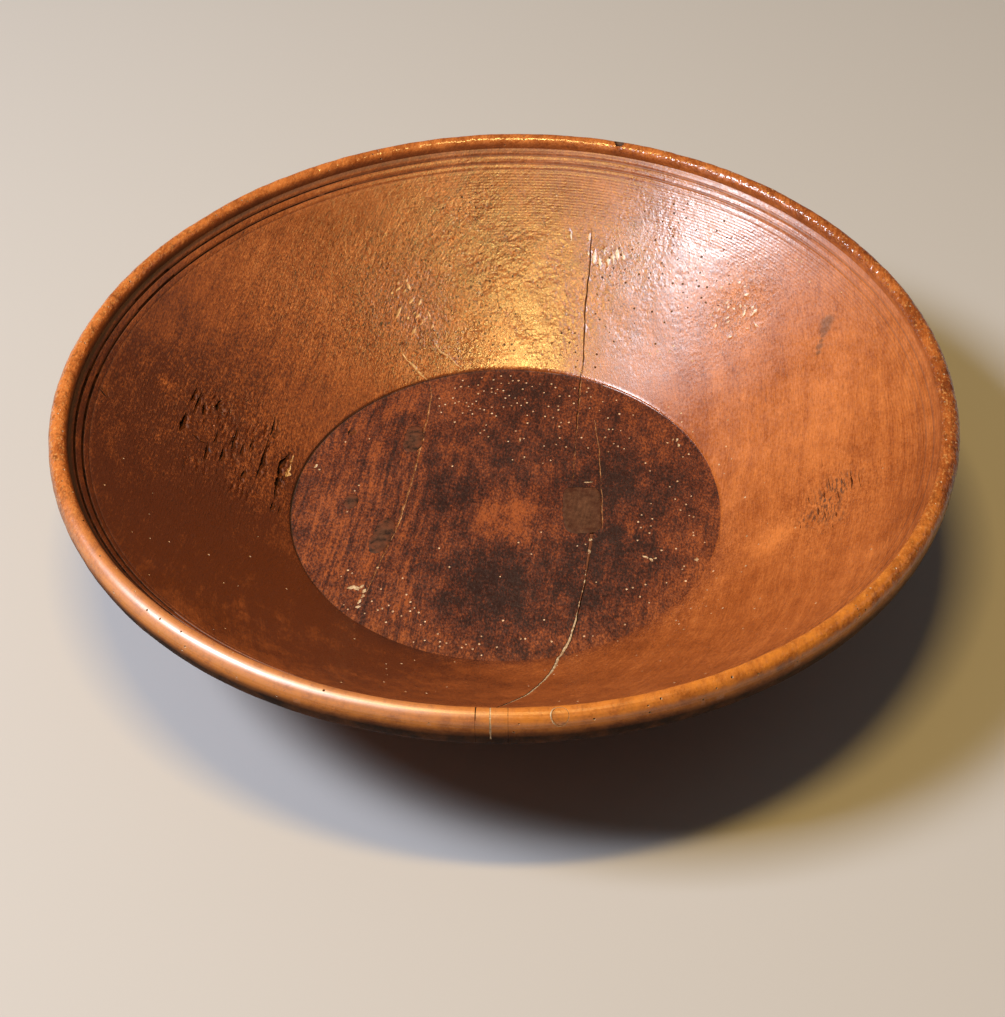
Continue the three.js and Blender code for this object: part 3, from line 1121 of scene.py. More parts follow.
def makeFloorRepair(spec):
    soft, count = repairSettings["edgeRound"], repairSettings["rings"]
    edge, core = repairOutline(spec, 0), repairOutline(spec, -soft)
    middle = edge.mean(axis=0)
    rings = [np.c_[edge, np.full(len(edge), bowl["floorThickness"] - spec["depth"] * mm)]]
    for inset, drop in ((0, soft), (0.3 * soft, 0.3 * soft), (soft, 0)):
        ring = repairOutline(spec, -inset)
        rings.append(np.c_[ring, surfaceHeight(*ring.T) - drop])
    for share in np.linspace(0.85, 0.06, count):
        ring = middle + (core - middle) * share
        swell = spec["dome"] * mm * (1 - share ** 2)
        lumps = np.array([repairSettings["lumps"] * ripple(x, y, 0, 5 * mm, 9.0) for x, y in ring])
        rings.append(np.c_[ring, surfaceHeight(*ring.T) + swell + lumps * (1 - share)])
    made = addTube(spec["name"], rings, finishes[spec["finish"]])
    wear = [1.0] * (len(rings) - count) + list(np.linspace(0.9, 0.0, count))
    paintMask(made.data, "edge", np.repeat(wear, len(edge)))
    return made


def makePocket(spec):
    edge = repairOutline(spec, repairSettings["gap"])
    bottom = bowl["floorThickness"] - spec["depth"] * mm - repairSettings["gap"]
    levels = (bottom, bowl["floorThickness"] + repairSettings["above"])
    return addTube("pocket", [np.c_[edge, np.full(len(edge), level)] for level in levels], finishes["splitShade"])


# Rim repairs: a block and a peg with the bead's own section

rimRepairs = {
    "patchAngle": math.radians(-91.9),
    "patchWidth": 13 * mm,
    "patchDepth": 16 * mm,
    "patchHeight": 23 * mm,
    "pegAngle": math.radians(-84.4),
    "pegTilt": math.radians(22),
    "pegRadius": 3.3 * mm,
    "pegLength": 9 * mm,
    "pegSteps": 32,
    "ringWidth": 0.42 * mm,
    "ringSteps": 48,
    "ringSides": 6,
    "gap": 0.12 * mm,
    "above": 12 * mm,        # cutters stand this far out of the rim
    "nickAngle": math.radians(72),
    "nickRadius": 3.2 * mm,
    "nickDepth": 1.6 * mm,
    "nickRaise": 2.9 * mm,   # the rim stands higher here
}


def rimBlock(grow):
    spec = rimRepairs
    outer = bowl["rimRadius"] + spec["above"]
    inner = bowl["rimRadius"] - spec["patchDepth"] - grow
    half = spec["patchWidth"] / 2 + grow
    corners = ((inner, -half), (outer, -half), (outer, half), (inner, half))
    top, bottom = bowl["rimHeight"] + spec["above"], bowl["rimHeight"] - spec["patchHeight"] - grow
    verts = [(r, side, z) for z in (bottom, top) for r, side in corners]
    faces = [(3, 2, 1, 0), (4, 5, 6, 7), (0, 1, 5, 4), (1, 2, 6, 5), (2, 3, 7, 6), (3, 0, 4, 7)]
    made = addObject("rimBlock", verts, faces, finishes["splitShade"])
    made.data.transform(Matrix.Rotation(spec["patchAngle"], 4, "Z"))
    return made


def pegFrame():
    swing = Matrix.Rotation(rimRepairs["pegAngle"], 4, "Z")
    tilt = Matrix.Rotation(rimRepairs["pegTilt"], 4, "Y")
    return swing @ Matrix.Translation((beadMiddle, 0, beadLevel)) @ tilt


def pegRod(grow):
    spec, steps = rimRepairs, rimRepairs["pegSteps"]
    radius, length = spec["pegRadius"] + grow, spec["pegLength"] + grow
    angles = np.arange(steps) * 2 * math.pi / steps
    made = addTube("pegRod", [np.c_[radius * np.cos(angles), radius * np.sin(angles), np.full(steps, level)]
                              for level in (bowl["beadRise"] - length, bowl["beadRise"] + spec["above"])],
                   finishes["splitShade"])
    made.data.transform(pegFrame())
    return made


# Pale glue line round the peg, widest on its left
def pegRing():
    spec, turned = rimRepairs, pegFrame()
    swing = turned.to_3x3()
    axis = swing @ Vector((0, 0, 1))
    rings = []
    for i in range(spec["ringSteps"]):
        angle = 2 * math.pi * i / spec["ringSteps"]
        outward = swing @ Vector((math.cos(angle), math.sin(angle), 0))
        thick = spec["ringWidth"] * (0.16 + 0.84 * max(0, -math.sin(angle)) ** 1.5)
        start = turned @ Vector((0, 0, bowl["beadRise"] + spec["above"]))
        start += outward * (spec["pegRadius"] + spec["gap"] + thick)
        at = blankSurface.ray_cast(start, -axis)[0] - axis * 0.5 * thick
        turns = [2 * math.pi * j / spec["ringSides"] for j in range(spec["ringSides"])]
        rings.append([at + (outward * math.cos(turn) + axis * math.sin(turn)) * thick for turn in turns])
    return addTube("pegRing", rings, finishes["palePutty"], loop=True)


def rimNick():
    spec = rimRepairs
    lift = bowl["beadRise"] + spec["nickRadius"] - spec["nickDepth"]
    work = bmesh.new()
    bmesh.ops.create_icosphere(work, subdivisions=3, radius=spec["nickRadius"])
    for vert in work.verts:
        vert.co *= 1 + 0.25 * ripple(*vert.co, 2 * mm, 8.0)
    mesh = bpy.data.meshes.new("nick")
    work.to_mesh(mesh)
    work.free()
    mesh.transform(Matrix.Rotation(spec["nickAngle"], 4, "Z") @ Matrix.Translation((beadMiddle, 0, beadLevel + lift)))
    mesh.transform(Matrix.Translation((0, 0, spec["nickRaise"])))
    mesh.materials.append(finishes["darkStopping"])
    return linked("nick", mesh)


# A thin line over the bead: angle round the rim, from and to round the bead's section, width, finish
beadLines = {
    "splitOver": {"round": -92.05, "start": -35, "end": 150, "width": 0.75 * mm, "finish": "palePutty"},
    "jointLeft": {"round": -93.66, "start": 35, "end": 165, "width": 0.6 * mm, "finish": "splitShade"},
    "jointRight": {"round": -90.08, "start": 60, "end": 150, "width": 0.5 * mm, "finish": "rawWood"},
}
beadLineSteps = 40
# section of the cutter: aside in half widths, height
beadLineSection = ((-1.2, 0.6 * mm), (1.2, 0.6 * mm), (0.85, -0.12 * mm), (-0.85, -0.12 * mm))


def beadLine(spec):
    turn = math.radians(spec["round"])
    out, aside = Vector((math.cos(turn), math.sin(turn), 0)), Vector((-math.sin(turn), math.cos(turn), 0))
    halfBead = bowl["beadWidth"] / 2
    rings = []
    for i in range(beadLineSteps):
        angle = math.radians(spec["start"] + (spec["end"] - spec["start"]) * i / (beadLineSteps - 1))
        tall = bowl["beadDrop"] if angle < 0 else bowl["beadRise"]
        at = out * (beadMiddle + halfBead * math.cos(angle))
        at.z = seasoned(at.x, at.y, beadLevel + tall * math.sin(angle))
        normal = (out * math.cos(angle) / halfBead + Vector((0, 0, math.sin(angle) / tall))).normalized()
        at = blankSurface.ray_cast(at + normal * 3 * mm, -normal)[0]
        half = spec["width"] / 2 * (1 + 0.5 * ripple(*at, 2 * mm, 4.0))
        drift = 0.25 * mm * ripple(*at, 5 * mm, 7.0)
        rings.append([at + aside * (across * half + drift) + normal * height for across, height in beadLineSection])
    return addTube("beadLine", rings, finishes[spec["finish"]])


def makeRimPiece(name, rod):
    piece = linked(name, body.data.copy())
    combine(piece, rod, "INTERSECT")
    piece.data.materials.clear()
    piece.data.materials.append(finishes["rimWood"])
    piece.data.polygons.foreach_set("material_index", np.zeros(len(piece.data.polygons), np.int32))
    return piece


rimPatch = makeRimPiece("rimPatch", rimBlock(0))
for spec in beadLines.values():
    combine(rimPatch, beadLine(spec))
rimPeg = makeRimPiece("rimPeg", pegRod(0))
floorPieces = {node: makeFloorRepair(spec) for node, spec in floorRepairs.items()}
print("repairs made:", ", ".join(piece.name for piece in (rimPatch, rimPeg, *floorPieces.values())))


# The split: open on the back wall, hairlines over the floor, filled with putty from the patch to the rim in front

split = {
    "back": [[(41.5, 98), (42.6, 113.8), (44.0, 131), (45.2, 137.5)],
             [(44.0, 129.5), (45.5, 138.4), (46.8, 147.1), (48.2, 163.5)]],
    "backWidth": 0.38 * mm,
    "backDepth": 6 * mm,
    "lipWidth": 0.95 * mm,
    "lipDepth": 0.35 * mm,
    # route, width
    "floorLines": [([(41.2, 101.5), (39.6, 84), (38.1, 71.4), (36.6, 52)], 0.45 * mm),
                   ([(36.4, 53), (35.4, 40), (33.2, 14.5)], 0.24 * mm),
                   ([(46.0, 64), (46.3, 59.4), (47.2, 40.4), (47.4, 16)], 0.42 * mm),
                   ([(47.4, 15), (47.3, 2), (46.4, -18.9)], 0.36 * mm)],
    "floorDepth": 0.35 * mm,
    "floorGash": [(40.8, 101.5), (39.2, 84), (37.7, 71.4), (36.2, 54)],
    "floorGashWidth": 0.38 * mm,
    "shake": [(-38.8, 100), (-37.3, 85.9), (-39.9, 62), (-41.2, 50.8), (-45.9, 21), (-51.1, -8.1),
              (-57.8, -29.3), (-63.3, -49.8), (-66.3, -60)],
    "shakeWidth": 0.62 * mm,
    "shakeDepth": 0.40 * mm,
    "filled": [(41.2, -20.6), (38.9, -38.3), (35.7, -58.8), (32.9, -72), (28.5, -91.2), (23.0, -103.2),
               (20.4, -118.4), (13.7, -143.5), (8.2, -161.5), (-6.3, -193.2)],
    # share of the way, width
    "filledWidths": [(0, 1.7), (0.07, 1.4), (0.13, 0.7), (0.30, 0.6), (0.38, 1.0), (0.50, 1.2), (0.62, 1.0),
                     (0.85, 0.8), (1, 0.35)],
    "filledDepth": 4.5 * mm,
    "filledGap": 0.14 * mm,
    "filledStep": 1.5 * mm,
    "filledSway": 0.5 * mm,
    "filledSeed": 3.0,
    "sink": 0.08 * mm,       # the putty has shrunk below the wood
    "lumps": 0.16 * mm,
    "raggedGape": 0.3 * mm,
    "gape": 0.5 * mm,        # widest here: share of the way, spread
    "gapeAt": (0.32, 0.12),
    "dirtyTo": 0.31,         # share of the way that is rubbed dark
    "dirtyFade": 0.02,
}


def fillHalf(share, at):
    return np.interp(share, *zip(*split["filledWidths"])) / 2 * mm * (1 + 0.5 * ripple(*at, 4 * mm, 2.0))


def fillSection(share, at):
    half, deep = fillHalf(share, at), -split["filledDepth"]
    top = split["lumps"] * ripple(*at, 2.2 * mm, 4.0) - split["sink"]
    side = top - 0.15 * mm
    return [(half, deep), (half, side), (0.45 * half, top),
            (-0.45 * half, top - 0.05 * mm), (-half, side), (-half, deep)]


def channelSection(share, at):
    half = fillHalf(share, at) + split["filledGap"]
    gaping = split["raggedGape"] * max(0, ripple(*at, 9 * mm, 6.0)) + split["gape"] * hump(share, *split["gapeAt"])
    deep = -split["filledDepth"] - split["filledGap"]
    return [(half, deep), (half + gaping, 2 * mm), (-half, 2 * mm), (-half, deep)]


filledRoute = wandering(split["filled"], split["filledStep"], split["filledSway"], split["filledSeed"])
splitFilling = strip("splitFilling", filledRoute, fillSection, finishes["splitPutty"])
corners = len(splitFilling.data.vertices) // len(filledRoute)
fillShares = np.repeat(np.linspace(0, 1, len(filledRoute)), corners)
paintMask(splitFilling.data, "edge", np.clip((split["dirtyTo"] - fillShares) / split["dirtyFade"], 0.15, 10.0))
# the channel goes a step further at both ends
channelRoute = np.vstack([filledRoute[0] * 2 - filledRoute[1], filledRoute[1:-1],
                          filledRoute[-1] * 2 - filledRoute[-2]])
channel = strip("channel", channelRoute, channelSection, finishes["splitShade"])

combine(body, gather("pockets", [makePocket(spec) for spec in floorRepairs.values()]))
for cutter in (channel, rimBlock(rimRepairs["gap"]), pegRod(rimRepairs["gap"]), rimNick()):
    combine(body, cutter)
combine(body, pegRing(), "UNION")
print("pockets cut:", triangles(body), "triangles")

for number, route in enumerate(split["back"]):
    combine(body, crack(route, split["lipWidth"], split["lipDepth"], "splitLip", number + 1.0))
    combine(body, crack(route, split["backWidth"], split["backDepth"], "splitShade", number + 1.0))
for number, (route, width) in enumerate(split["floorLines"]):
    combine(body, crack(route, width, split["floorDepth"], "rawWood", number + 5.0, fray=0.9))
combine(body, crack(split["floorGash"], split["floorGashWidth"], split["floorDepth"] * 2, "splitShade", 5.0, fray=0.9))
combine(body, crack(split["shake"], split["shakeWidth"], split["shakeDepth"], "rawWood", 9.0, fray=0.8))
print("split cut:", triangles(body), "triangles")

# Spots for the masks: x, y, radius in millimetres, then strength. In the blots, more is lighter.
floorBlots = [
    (1, -7, 17, 1.25), (-28, 6, 17, -0.6), (14, 88, 15, -0.65), (64, 18, 22, -0.75), (7, 40, 22, -0.45),
    (-1, -52, 24, -0.75), (-14, -66, 14, -0.55), (50, -30, 22, -0.75), (39, -64, 18, -0.6), (8, -96, 14, -0.6),
    (-50, 82, 9, 0.6), (-86, 28, 26, 0.12), (-80, -36, 24, 0.28), (-58, -66, 24, 0.1), (88, 40, 17, 0.3),
    (84, -22, 16, 0.15), (71, -66, 20, 0.2), (-36, -84, 22, 0.1), (-55, 30, 18, 0.05), (28, 25, 26, -0.2),
    (30, 70, 30, 0.05), (18, 24, 10, 0.35), (20, -15, 75, -0.22)]
# On the walls the broad blots darken the left and front-left walls as painted shade and lighten the right side as
# painted light
wallToneLightAndShade = [
    (-89, 148, 60, 0.0), (-175, 40, 70, -0.75), (-140, -60, 80, -1.2), (0, 136, 45, -0.05), (-10, 162, 22, -0.28),
    (2, 112, 14, 0.5), (165, 30, 75, 0.58), (130, -90, 60, 0.25), (60, -130, 40, -0.05), (-60, -130, 60, -0.85),
    (110, 120, 60, 0.3), (122, -47, 9, 0.5), (132, -44, 7, 0.4), (-164.7, 44.6, 3, 1.2)]
tornSpots = [
    (-135, 26, 38, 0.9), (-110, 110, 50, 0.42), (-160, 20, 60, 0.3), (-140, -50, 60, 0.18), (-12, 128, 34, 0.18),
    (-50, 128, 26, 0.45), (-30, 165, 40, 0.1), (62, 146, 12, 0.4), (122, 104, 18, 0.5), (148, -40, 24, 0.4)]
glossSpots = [
    (8, 112, 34, 1.0), (-14, 140, 36, 0.6), (104, 150, 30, 0.45), (80, 172, 26, 0.4), (130, 130, 24, 0.3)]
scarSpots = [
    (152, -32, 8, 0.9), (148, -44, 8, 0.8), (158, -28, 6, 0.7), (141, -44, 6, 0.45), (152, -54, 5, 0.5)]
rippleSpots = [
    (-8, 132, 44, 1.0), (-52, 128, 30, 0.9), (-100, 112, 46, 0.5), (60, 140, 30, 0.5), (108, 128, 46, 0.4),
    (-150, 20, 60, 0.4), (-20, 170, 36, 0.6)]
# A dark smear on the right wall: x, y, radius
stainSpots = [
    (161.4, 74.8, 3.6), (160.2, 71.5, 3.0), (158.9, 68.6, 1.3), (158.0, 66.2, 1.2), (156.8, 63.6, 2.0),
    (156.0, 60.6, 1.5)]
# Worm holes seen in the floor, dark ones in the back wall and dusty ones in the walls: x, y in millimetres
floorHoles = [
    (-1, 100), (4, 100), (-22, 92), (-21, 97), (-18, 92), (-13, 93), (-11, 99), (-5, 97), (-1, 94), (3, 94),
    (5, 96), (8, 96), (12, 94), (19, 93), (25, 93), (-25, 91), (-13, 86), (-10, 88), (-6, 87), (-6, 90), (-4, 86),
    (-3, 89), (0, 88), (10, 89), (15, 91), (21, 86), (27, 90), (37, 89), (43, 86), (44, 89), (-33, 83), (-33, 77),
    (-30, 78), (-26, 83), (-25, 79), (-23, 80), (-19, 79), (-16, 78), (-14, 80), (1, 82), (3, 84), (6, 82), (7, 78),
    (11, 81), (12, 78), (29, 83), (34, 83), (36, 77), (45, 82), (51, 78), (58, 79), (-32, 72), (-21, 71), (-18, 76),
    (-17, 73), (-16, 70), (-12, 74), (-10, 73), (-6, 75), (-6, 70), (0, 75), (4, 76), (9, 76), (15, 71), (23, 75),
    (28, 75), (28, 72), (44, 73), (49, 71), (59, 68), (-25, 64), (-9, 61), (-4, 68), (12, 62), (12, 68), (21, 67),
    (25, 66), (29, 62), (33, 62), (53, 65), (66, 67), (-68, 52), (-12, 55), (-10, 57), (6, 56), (28, 59), (53, 56),
    (55, 56), (59, 55), (-80, 50), (-8, 52), (2, 48), (10, 50), (26, 45), (28, 50), (39, 50), (51, 50), (55, 45),
    (63, 49), (82, 45), (10, 36), (20, 44), (31, 43), (42, 42), (52, 39), (57, 43), (60, 41), (-26, 30), (4, 34),
    (19, 31), (23, 33), (70, 30), (89, 34), (92, 36), (72, 24), (-74, 13), (-72, 17), (85, 16), (81, 12), (91, 5),
    (-77, -2), (71, 0), (83, 3), (88, -1), (66, -8), (71, -11), (85, -5), (89, -9), (91, -10), (17, -19), (64, -13),
    (65, -17), (70, -16), (6, -26), (63, -26), (69, -21), (90, -23), (90, -21), (95, -28), (-64, -31), (-32, -29),
    (12, -34), (34, -29), (38, -28), (74, -33), (81, -32), (-75, -43), (-27, -42), (84, -44), (-78, -47),
    (-73, -45), (-49, -49), (-3, -49), (83, -46), (-59, -56), (42, -54), (56, -59), (59, -58), (65, -56), (75, -55),
    (84, -54), (-76, -66), (-63, -64), (-55, -67), (-47, -60), (-45, -65), (62, -64), (-74, -69), (-66, -72),
    (-60, -70), (-58, -69), (-53, -71), (-49, -74), (-45, -71), (-43, -69), (-41, -72), (66, -68), (-56, -78),
    (-40, -80), (-38, -78), (-2, -78), (17, -78), (54, -82), (-43, -91), (-38, -90), (-32, -86), (-31, -91),
    (-28, -92), (-12, -88), (6, -90), (8, -90), (20, -92), (35, -89), (39, -89), (-31, -94), (-21, -95), (-19, -93),
    (-16, -96), (-13, -93), (-5, -95), (-12, -100)]
wallHoles = [
    (-21, 184), (-20, 181), (-4, 186), (-30, 176), (-22, 175), (-16, 179), (-13, 177), (-10, 177), (-36, 164),
    (-22, 168), (-13, 172), (-5, 165), (76, 165), (84, 168), (91, 164), (-33, 159), (-7, 162), (-5, 157), (8, 158),
    (60, 156), (82, 159), (84, 162), (85, 158), (87, 163), (88, 159), (91, 160), (96, 160), (97, 156), (98, 162),
    (-27, 151), (-16, 153), (-12, 153), (-4, 150), (4, 149), (53, 148), (57, 149), (62, 152), (63, 149), (67, 152),
    (69, 150), (72, 152), (77, 156), (81, 151), (89, 154), (90, 150), (93, 155), (102, 149), (116, 148), (-24, 142),
    (-20, 143), (-16, 145), (-16, 142), (-11, 144), (-6, 145), (-1, 146), (1, 144), (6, 147), (19, 142), (43, 142),
    (51, 147), (53, 141), (57, 141), (59, 144), (62, 143), (65, 142), (69, 144), (75, 148), (84, 140), (89, 143),
    (90, 146), (94, 145), (98, 140), (104, 145), (112, 145), (117, 140), (-24, 138), (-17, 134), (-11, 133),
    (-10, 139), (-2, 136), (-1, 133), (5, 133), (20, 133), (34, 136), (38, 135), (50, 134), (65, 136), (72, 138),
    (77, 135), (78, 137), (84, 135), (85, 138), (92, 139), (104, 136), (105, 133), (106, 138), (115, 135),
    (119, 139), (-12, 126), (-9, 129), (-8, 127), (-6, 129), (-4, 127), (2, 129), (7, 130), (38, 128), (38, 125),
    (49, 125), (52, 128), (56, 130), (58, 125), (79, 128), (85, 129), (89, 129), (94, 127), (97, 131), (101, 132),
    (101, 126), (103, 129), (115, 132), (117, 128), (-23, 118), (-18, 123), (-9, 121), (-4, 120), (-4, 124),
    (-1, 124), (4, 119), (14, 120), (26, 122), (31, 119), (35, 120), (36, 122), (38, 118), (51, 122), (54, 118),
    (69, 123), (78, 119), (94, 123), (96, 120), (102, 123), (103, 117), (106, 121), (111, 122), (117, 118),
    (117, 122), (-23, 110), (-17, 112), (-16, 109), (-14, 116), (-7, 109), (-5, 116), (-4, 109), (-2, 115),
    (1, 116), (2, 109), (5, 116), (6, 113), (12, 111), (16, 116), (26, 115), (30, 109), (35, 114), (38, 109),
    (39, 112), (56, 115), (58, 110), (69, 116), (84, 112), (88, 116), (96, 115), (105, 114), (108, 110), (111, 110),
    (117, 108), (38, 102), (39, 105), (48, 100), (49, 106), (79, 103), (126, 102)]
dustyHoles = [
    (-30, 174), (-26, 173), (-23, 172), (18, 176), (30, 180), (-30, 166), (-25, 170), (-21, 171), (-20, 165),
    (-17, 171), (-16, 168), (-12, 167), (50, 168), (-23, 156), (-20, 157), (18, 159), (22, 162), (25, 164),
    (37, 160), (-29, 151), (-26, 151), (9, 156), (14, 153), (17, 152), (24, 152), (29, 150), (30, 155), (-28, 147),
    (-25, 146), (33, 147), (37, 147), (-30, 135), (-27, 137), (-23, 137), (20, 134), (-27, 128), (18, 126),
    (-23, 116), (130, 122), (-32, 108), (-31, 111), (-29, 109), (-28, 114), (-24, 110), (150, 114), (152, 112),
    (-20, 107), (-17, 107), (84, 105), (88, 103), (107, 107), (76, 99), (80, 99), (81, 95), (86, 97), (88, 99),
    (155, 100), (97, 88), (169, 86), (84, 69), (90, 63), (90, 58), (95, 50), (112, 48), (110, 33), (106, 24),
    (112, 24), (108, 17), (116, -5), (97, -52), (50, -95), (31, -105), (-24, -109), (22, -116), (20, -129),
    (13, -147), (81, -172), (68, -176)]


# Masks painted on the bowl from its own shape

skinDepth = 3.5 * mm         # what lies deeper under the inside's surface belongs to the outside
beadOverlap = 0.2 * mm
# how dark the thin line in each cut line is, for dirt and painted shade
lineDirtAndShade = (0.50, 0.42, 0.2)


def surfaceOf(mesh):
    x, y, z = vertexArray(mesh).T
    r = np.hypot(x, y)
    inside = (z > insideHeight(x, y) - skinDepth) & (r < beadFoot + beadOverlap)
    onFloor = inside & (r < bowl["floorRadius"] - 0.3 * mm)
    return SimpleNamespace(
        x=x, y=y, z=z, r=r, inside=inside, onFloor=onFloor, onWall=inside & ~onFloor,
        turn=np.arctan2(y, x), level=z / seasoned(x, y, 1.0), handled=handled(x, y),
        bead=rising(r, beadFoot, 1.2 * mm) * (z > beadLevel - bowl["beadDrop"]))


def blotted(at, blots):
    total = np.zeros(len(at.x))
    for x, y, size, strength in blots:
        total += strength * np.exp(-((at.x - x * mm) ** 2 + (at.y - y * mm) ** 2) / (size * mm) ** 2)
    return total


# Share of a side of the bowl, full where it lies at the given angle
def sideOf(at, degrees, base, swing, least=0):
    return np.clip(base + swing * np.cos(at.turn - math.radians(degrees)), least, 1)


def toneLightAndShadeMask(at):
    tone = np.where(at.onFloor, blotted(at, floorBlots), blotted(at, wallToneLightAndShade))
    # On the bead: lighter where worn in front, lighter on the left as painted light, darker on the right
    onBead = 0.80 + 0.25 * at.handled + 0.3 * sideOf(at, 180, 0, 1) - 0.55 * sideOf(at, 5, -0.6, 1.5)
    return np.where(at.inside, tone, -0.25) + at.bead * onBead


# Dirt and painted shade along the floor's edge, in the cut lines, beside the bead and under it
def grimeAndShadeMask(at):
    left = sideOf(at, 185, 0.40, 0.75, least=0.14)
    # painted shade along the floor's edge, strongest on the left
    edge = 0.9 * hump(at.r, bowl["floorRadius"] - 0.4 * mm, 0.5 * mm) * at.inside * sideOf(at, 165, 0.15, 0.85)
    # the cut lines darker: a thin dark line in each, and painted shade over the whole line on the left
    thin = np.max([hump(at.r, beadFoot - inset, 0.28 * mm) * share
                   for (inset, width, depth), share in zip(bowl["lines"], lineDirtAndShade)], axis=0)
    cut = np.maximum(0.85 * rising(lineSink(at.r), 0, 0.6 * mm) * left, thin) * at.inside
    # painted shadow beside the bead's foot, strongest on the left
    quirk = 0.9 * hump(at.r, beadFoot - 0.5 * mm, 1.1 * mm) * left
    # painted shade under the bead, strongest in front
    front = 0.60 + 0.40 * sideOf(at, -90, 0, 1.4)
    under = rising(beadLevel - at.level, 1.5 * mm, 3.0 * mm) * ~at.inside * front
    # the outside wall darker towards the bead
    outside = 0.30 + 0.30 * rising(at.z, 30 * mm, 45 * mm)
    under = np.where(~at.inside & (at.bead == 0), outside, under)
    # painted shade on the bead's outer edge, away from the worn front
    brink = 0.5 * rising(at.r, beadMiddle + 2.4 * mm, 1.8 * mm) * (1 - at.handled)
    return np.clip(edge + cut + quirk + np.maximum(under, brink), 0, 0.97)


# In front the floor's dark colour runs out over the wall
def floorMask(at):
    soft = rising(np.cos(at.turn + math.radians(75)), 0.2, 0.5)
    fromEdge = np.abs(at.r - bowl["floorRadius"])
    beyond = np.where(at.inside, 0.72 * soft * np.exp(-fromEdge / (9 * mm)), 0)
    return np.where(at.onFloor, 1 - 0.28 * soft * np.exp(-fromEdge / (7 * mm)), beyond)


def tornMask(at):
    wall = blotted(at, tornSpots) * (at.r > bowl["floorRadius"])
    return np.clip(np.where(at.inside, 0.10 + 0.08 * at.onFloor + wall, 0.25 * (1 - at.bead)), 0, 1)


# Tool lines show near the rim, further down at the back, and along the worn bead
def latheMask(at):
    atBack = np.clip(np.sin(at.turn), 0, 1) ** 2
    upper = rising(at.r, 181 * mm - 31 * mm * atBack, 12 * mm + 23 * mm * atBack)
    upper = upper * (0.25 + 0.75 * rising(at.x + 0.35 * at.y, 0, 130 * mm))
    elsewhere = np.where(at.inside, 0.03, 0.5)
    return np.where(at.onWall, upper, elsewhere) * (1 - at.bead) + 0.85 * at.bead * at.handled


def glossMask(at):
    rubbed = blotted(at, glossSpots) * (at.r > bowl["floorRadius"])
    ledge = hump(at.r, bowl["floorRadius"], 0.5 * mm)
    return np.clip(np.where(at.inside, rubbed + ledge, at.bead * (0.95 - 1.15 * at.handled)), -0.2, 1)


def rippledMask(at):
    return np.where(at.onWall, np.clip(0.12 + blotted(at, rippleSpots), 0, 1), 0.2)


def dimpledMask(at):
    sides = 0.3 + 0.7 * np.cos(at.turn) ** 2
    return at.bead * sides * rising(at.level, beadLevel - 1.5 * mm, 2.5 * mm) * (1 - 0.85 * at.handled)


def waxedMask(at):
    leftOfMiddle = rising(-at.x, -5 * mm, 50 * mm)
    return at.bead * at.handled * leftOfMiddle * rising(at.level, beadLevel + 1.2 * mm, 2 * mm)


# Painted sheen: gold on the top of the bead, in front and towards the front right
def goldSheenMask(at):
    warm = np.maximum(at.handled, rising(np.cos(at.turn + math.radians(75)), 0.55, 0.3))
    return at.bead * warm * rising(at.level, beadLevel - 3 * mm, 3 * mm)


def streakyMask(at):
    return np.where(at.onFloor, np.clip((-30 * mm - at.x) / (12 * mm), 0.4, 1), 0.15)


def scarMask(at):
    return np.clip(blotted(at, scarSpots), 0, 0.9) * at.inside


def stainMask(at):
    return np.max([np.clip(1.1 * (1.15 - np.hypot(at.x - x * mm, at.y - y * mm) / (size * mm)), 0, 0.62)
                   for x, y, size in stainSpots], axis=0) * at.inside


bowlPaint = {
    "tone": toneLightAndShadeMask, "floorShare": floorMask, "torn": tornMask, "lathe": latheMask, "gloss": glossMask,
    "rippled": rippledMask, "dimpled": dimpledMask, "waxed": waxedMask, "golden": goldSheenMask, "scar": scarMask,
    "streaky": streakyMask, "grime": grimeAndShadeMask, "stain": stainMask,
}


def paintBowl(mesh):
    surface = surfaceOf(mesh)
    paintMask(mesh, "bead", surface.bead)
    for name, maskOf in bowlPaint.items():
        paintMask(mesh, name, maskOf(surface))


# The two deep lines get a near black finish as painted shade on their shaded side, widest on the left
def darkenShadedLines(mesh):
    mesh.materials.append(finishes["lineDirtAndShade"])
    slot = len(mesh.materials) - 1
    for face in mesh.polygons:
        x, y, z = face.center
        r = math.hypot(x, y)
        shaded = math.cos(math.atan2(y, x) - bowl["deepLines"])
        inShade = any(abs(r - beadFoot + inset) < width * 0.36 * shaded for inset, width, depth in bowl["lines"][:2])
        if inShade and z > 70 * mm:
            face.material_index = slot


# Below the bead and outside, the wood is not rubbed and stays dull
def dullOutside(mesh):
    first = len(mesh.materials)
    mesh.materials.append(finishes["outsideWood"])
    mesh.materials.append(finishes["lowerWood"])
    centres = np.zeros(len(mesh.polygons) * 3)
    mesh.polygons.foreach_get("center", centres)
    x, y, z = centres.reshape(-1, 3).T
    r, level = np.hypot(x, y), z / seasoned(x, y, 1.0)
    onBead = r > beadFoot + beadOverlap
    outside = np.where(onBead, level < beadLevel - 1.8 * mm, z < insideHeight(x, y) - skinDepth)
    lower = onBead & ~outside & (level < beadLevel + 0.3 * mm) & (r > beadMiddle)
    for share, slot in ((outside, first), (lower, first + 1)):
        for index in np.nonzero(share)[0]:
            if mesh.polygons[index].material_index == 0:
                mesh.polygons[index].material_index = slot


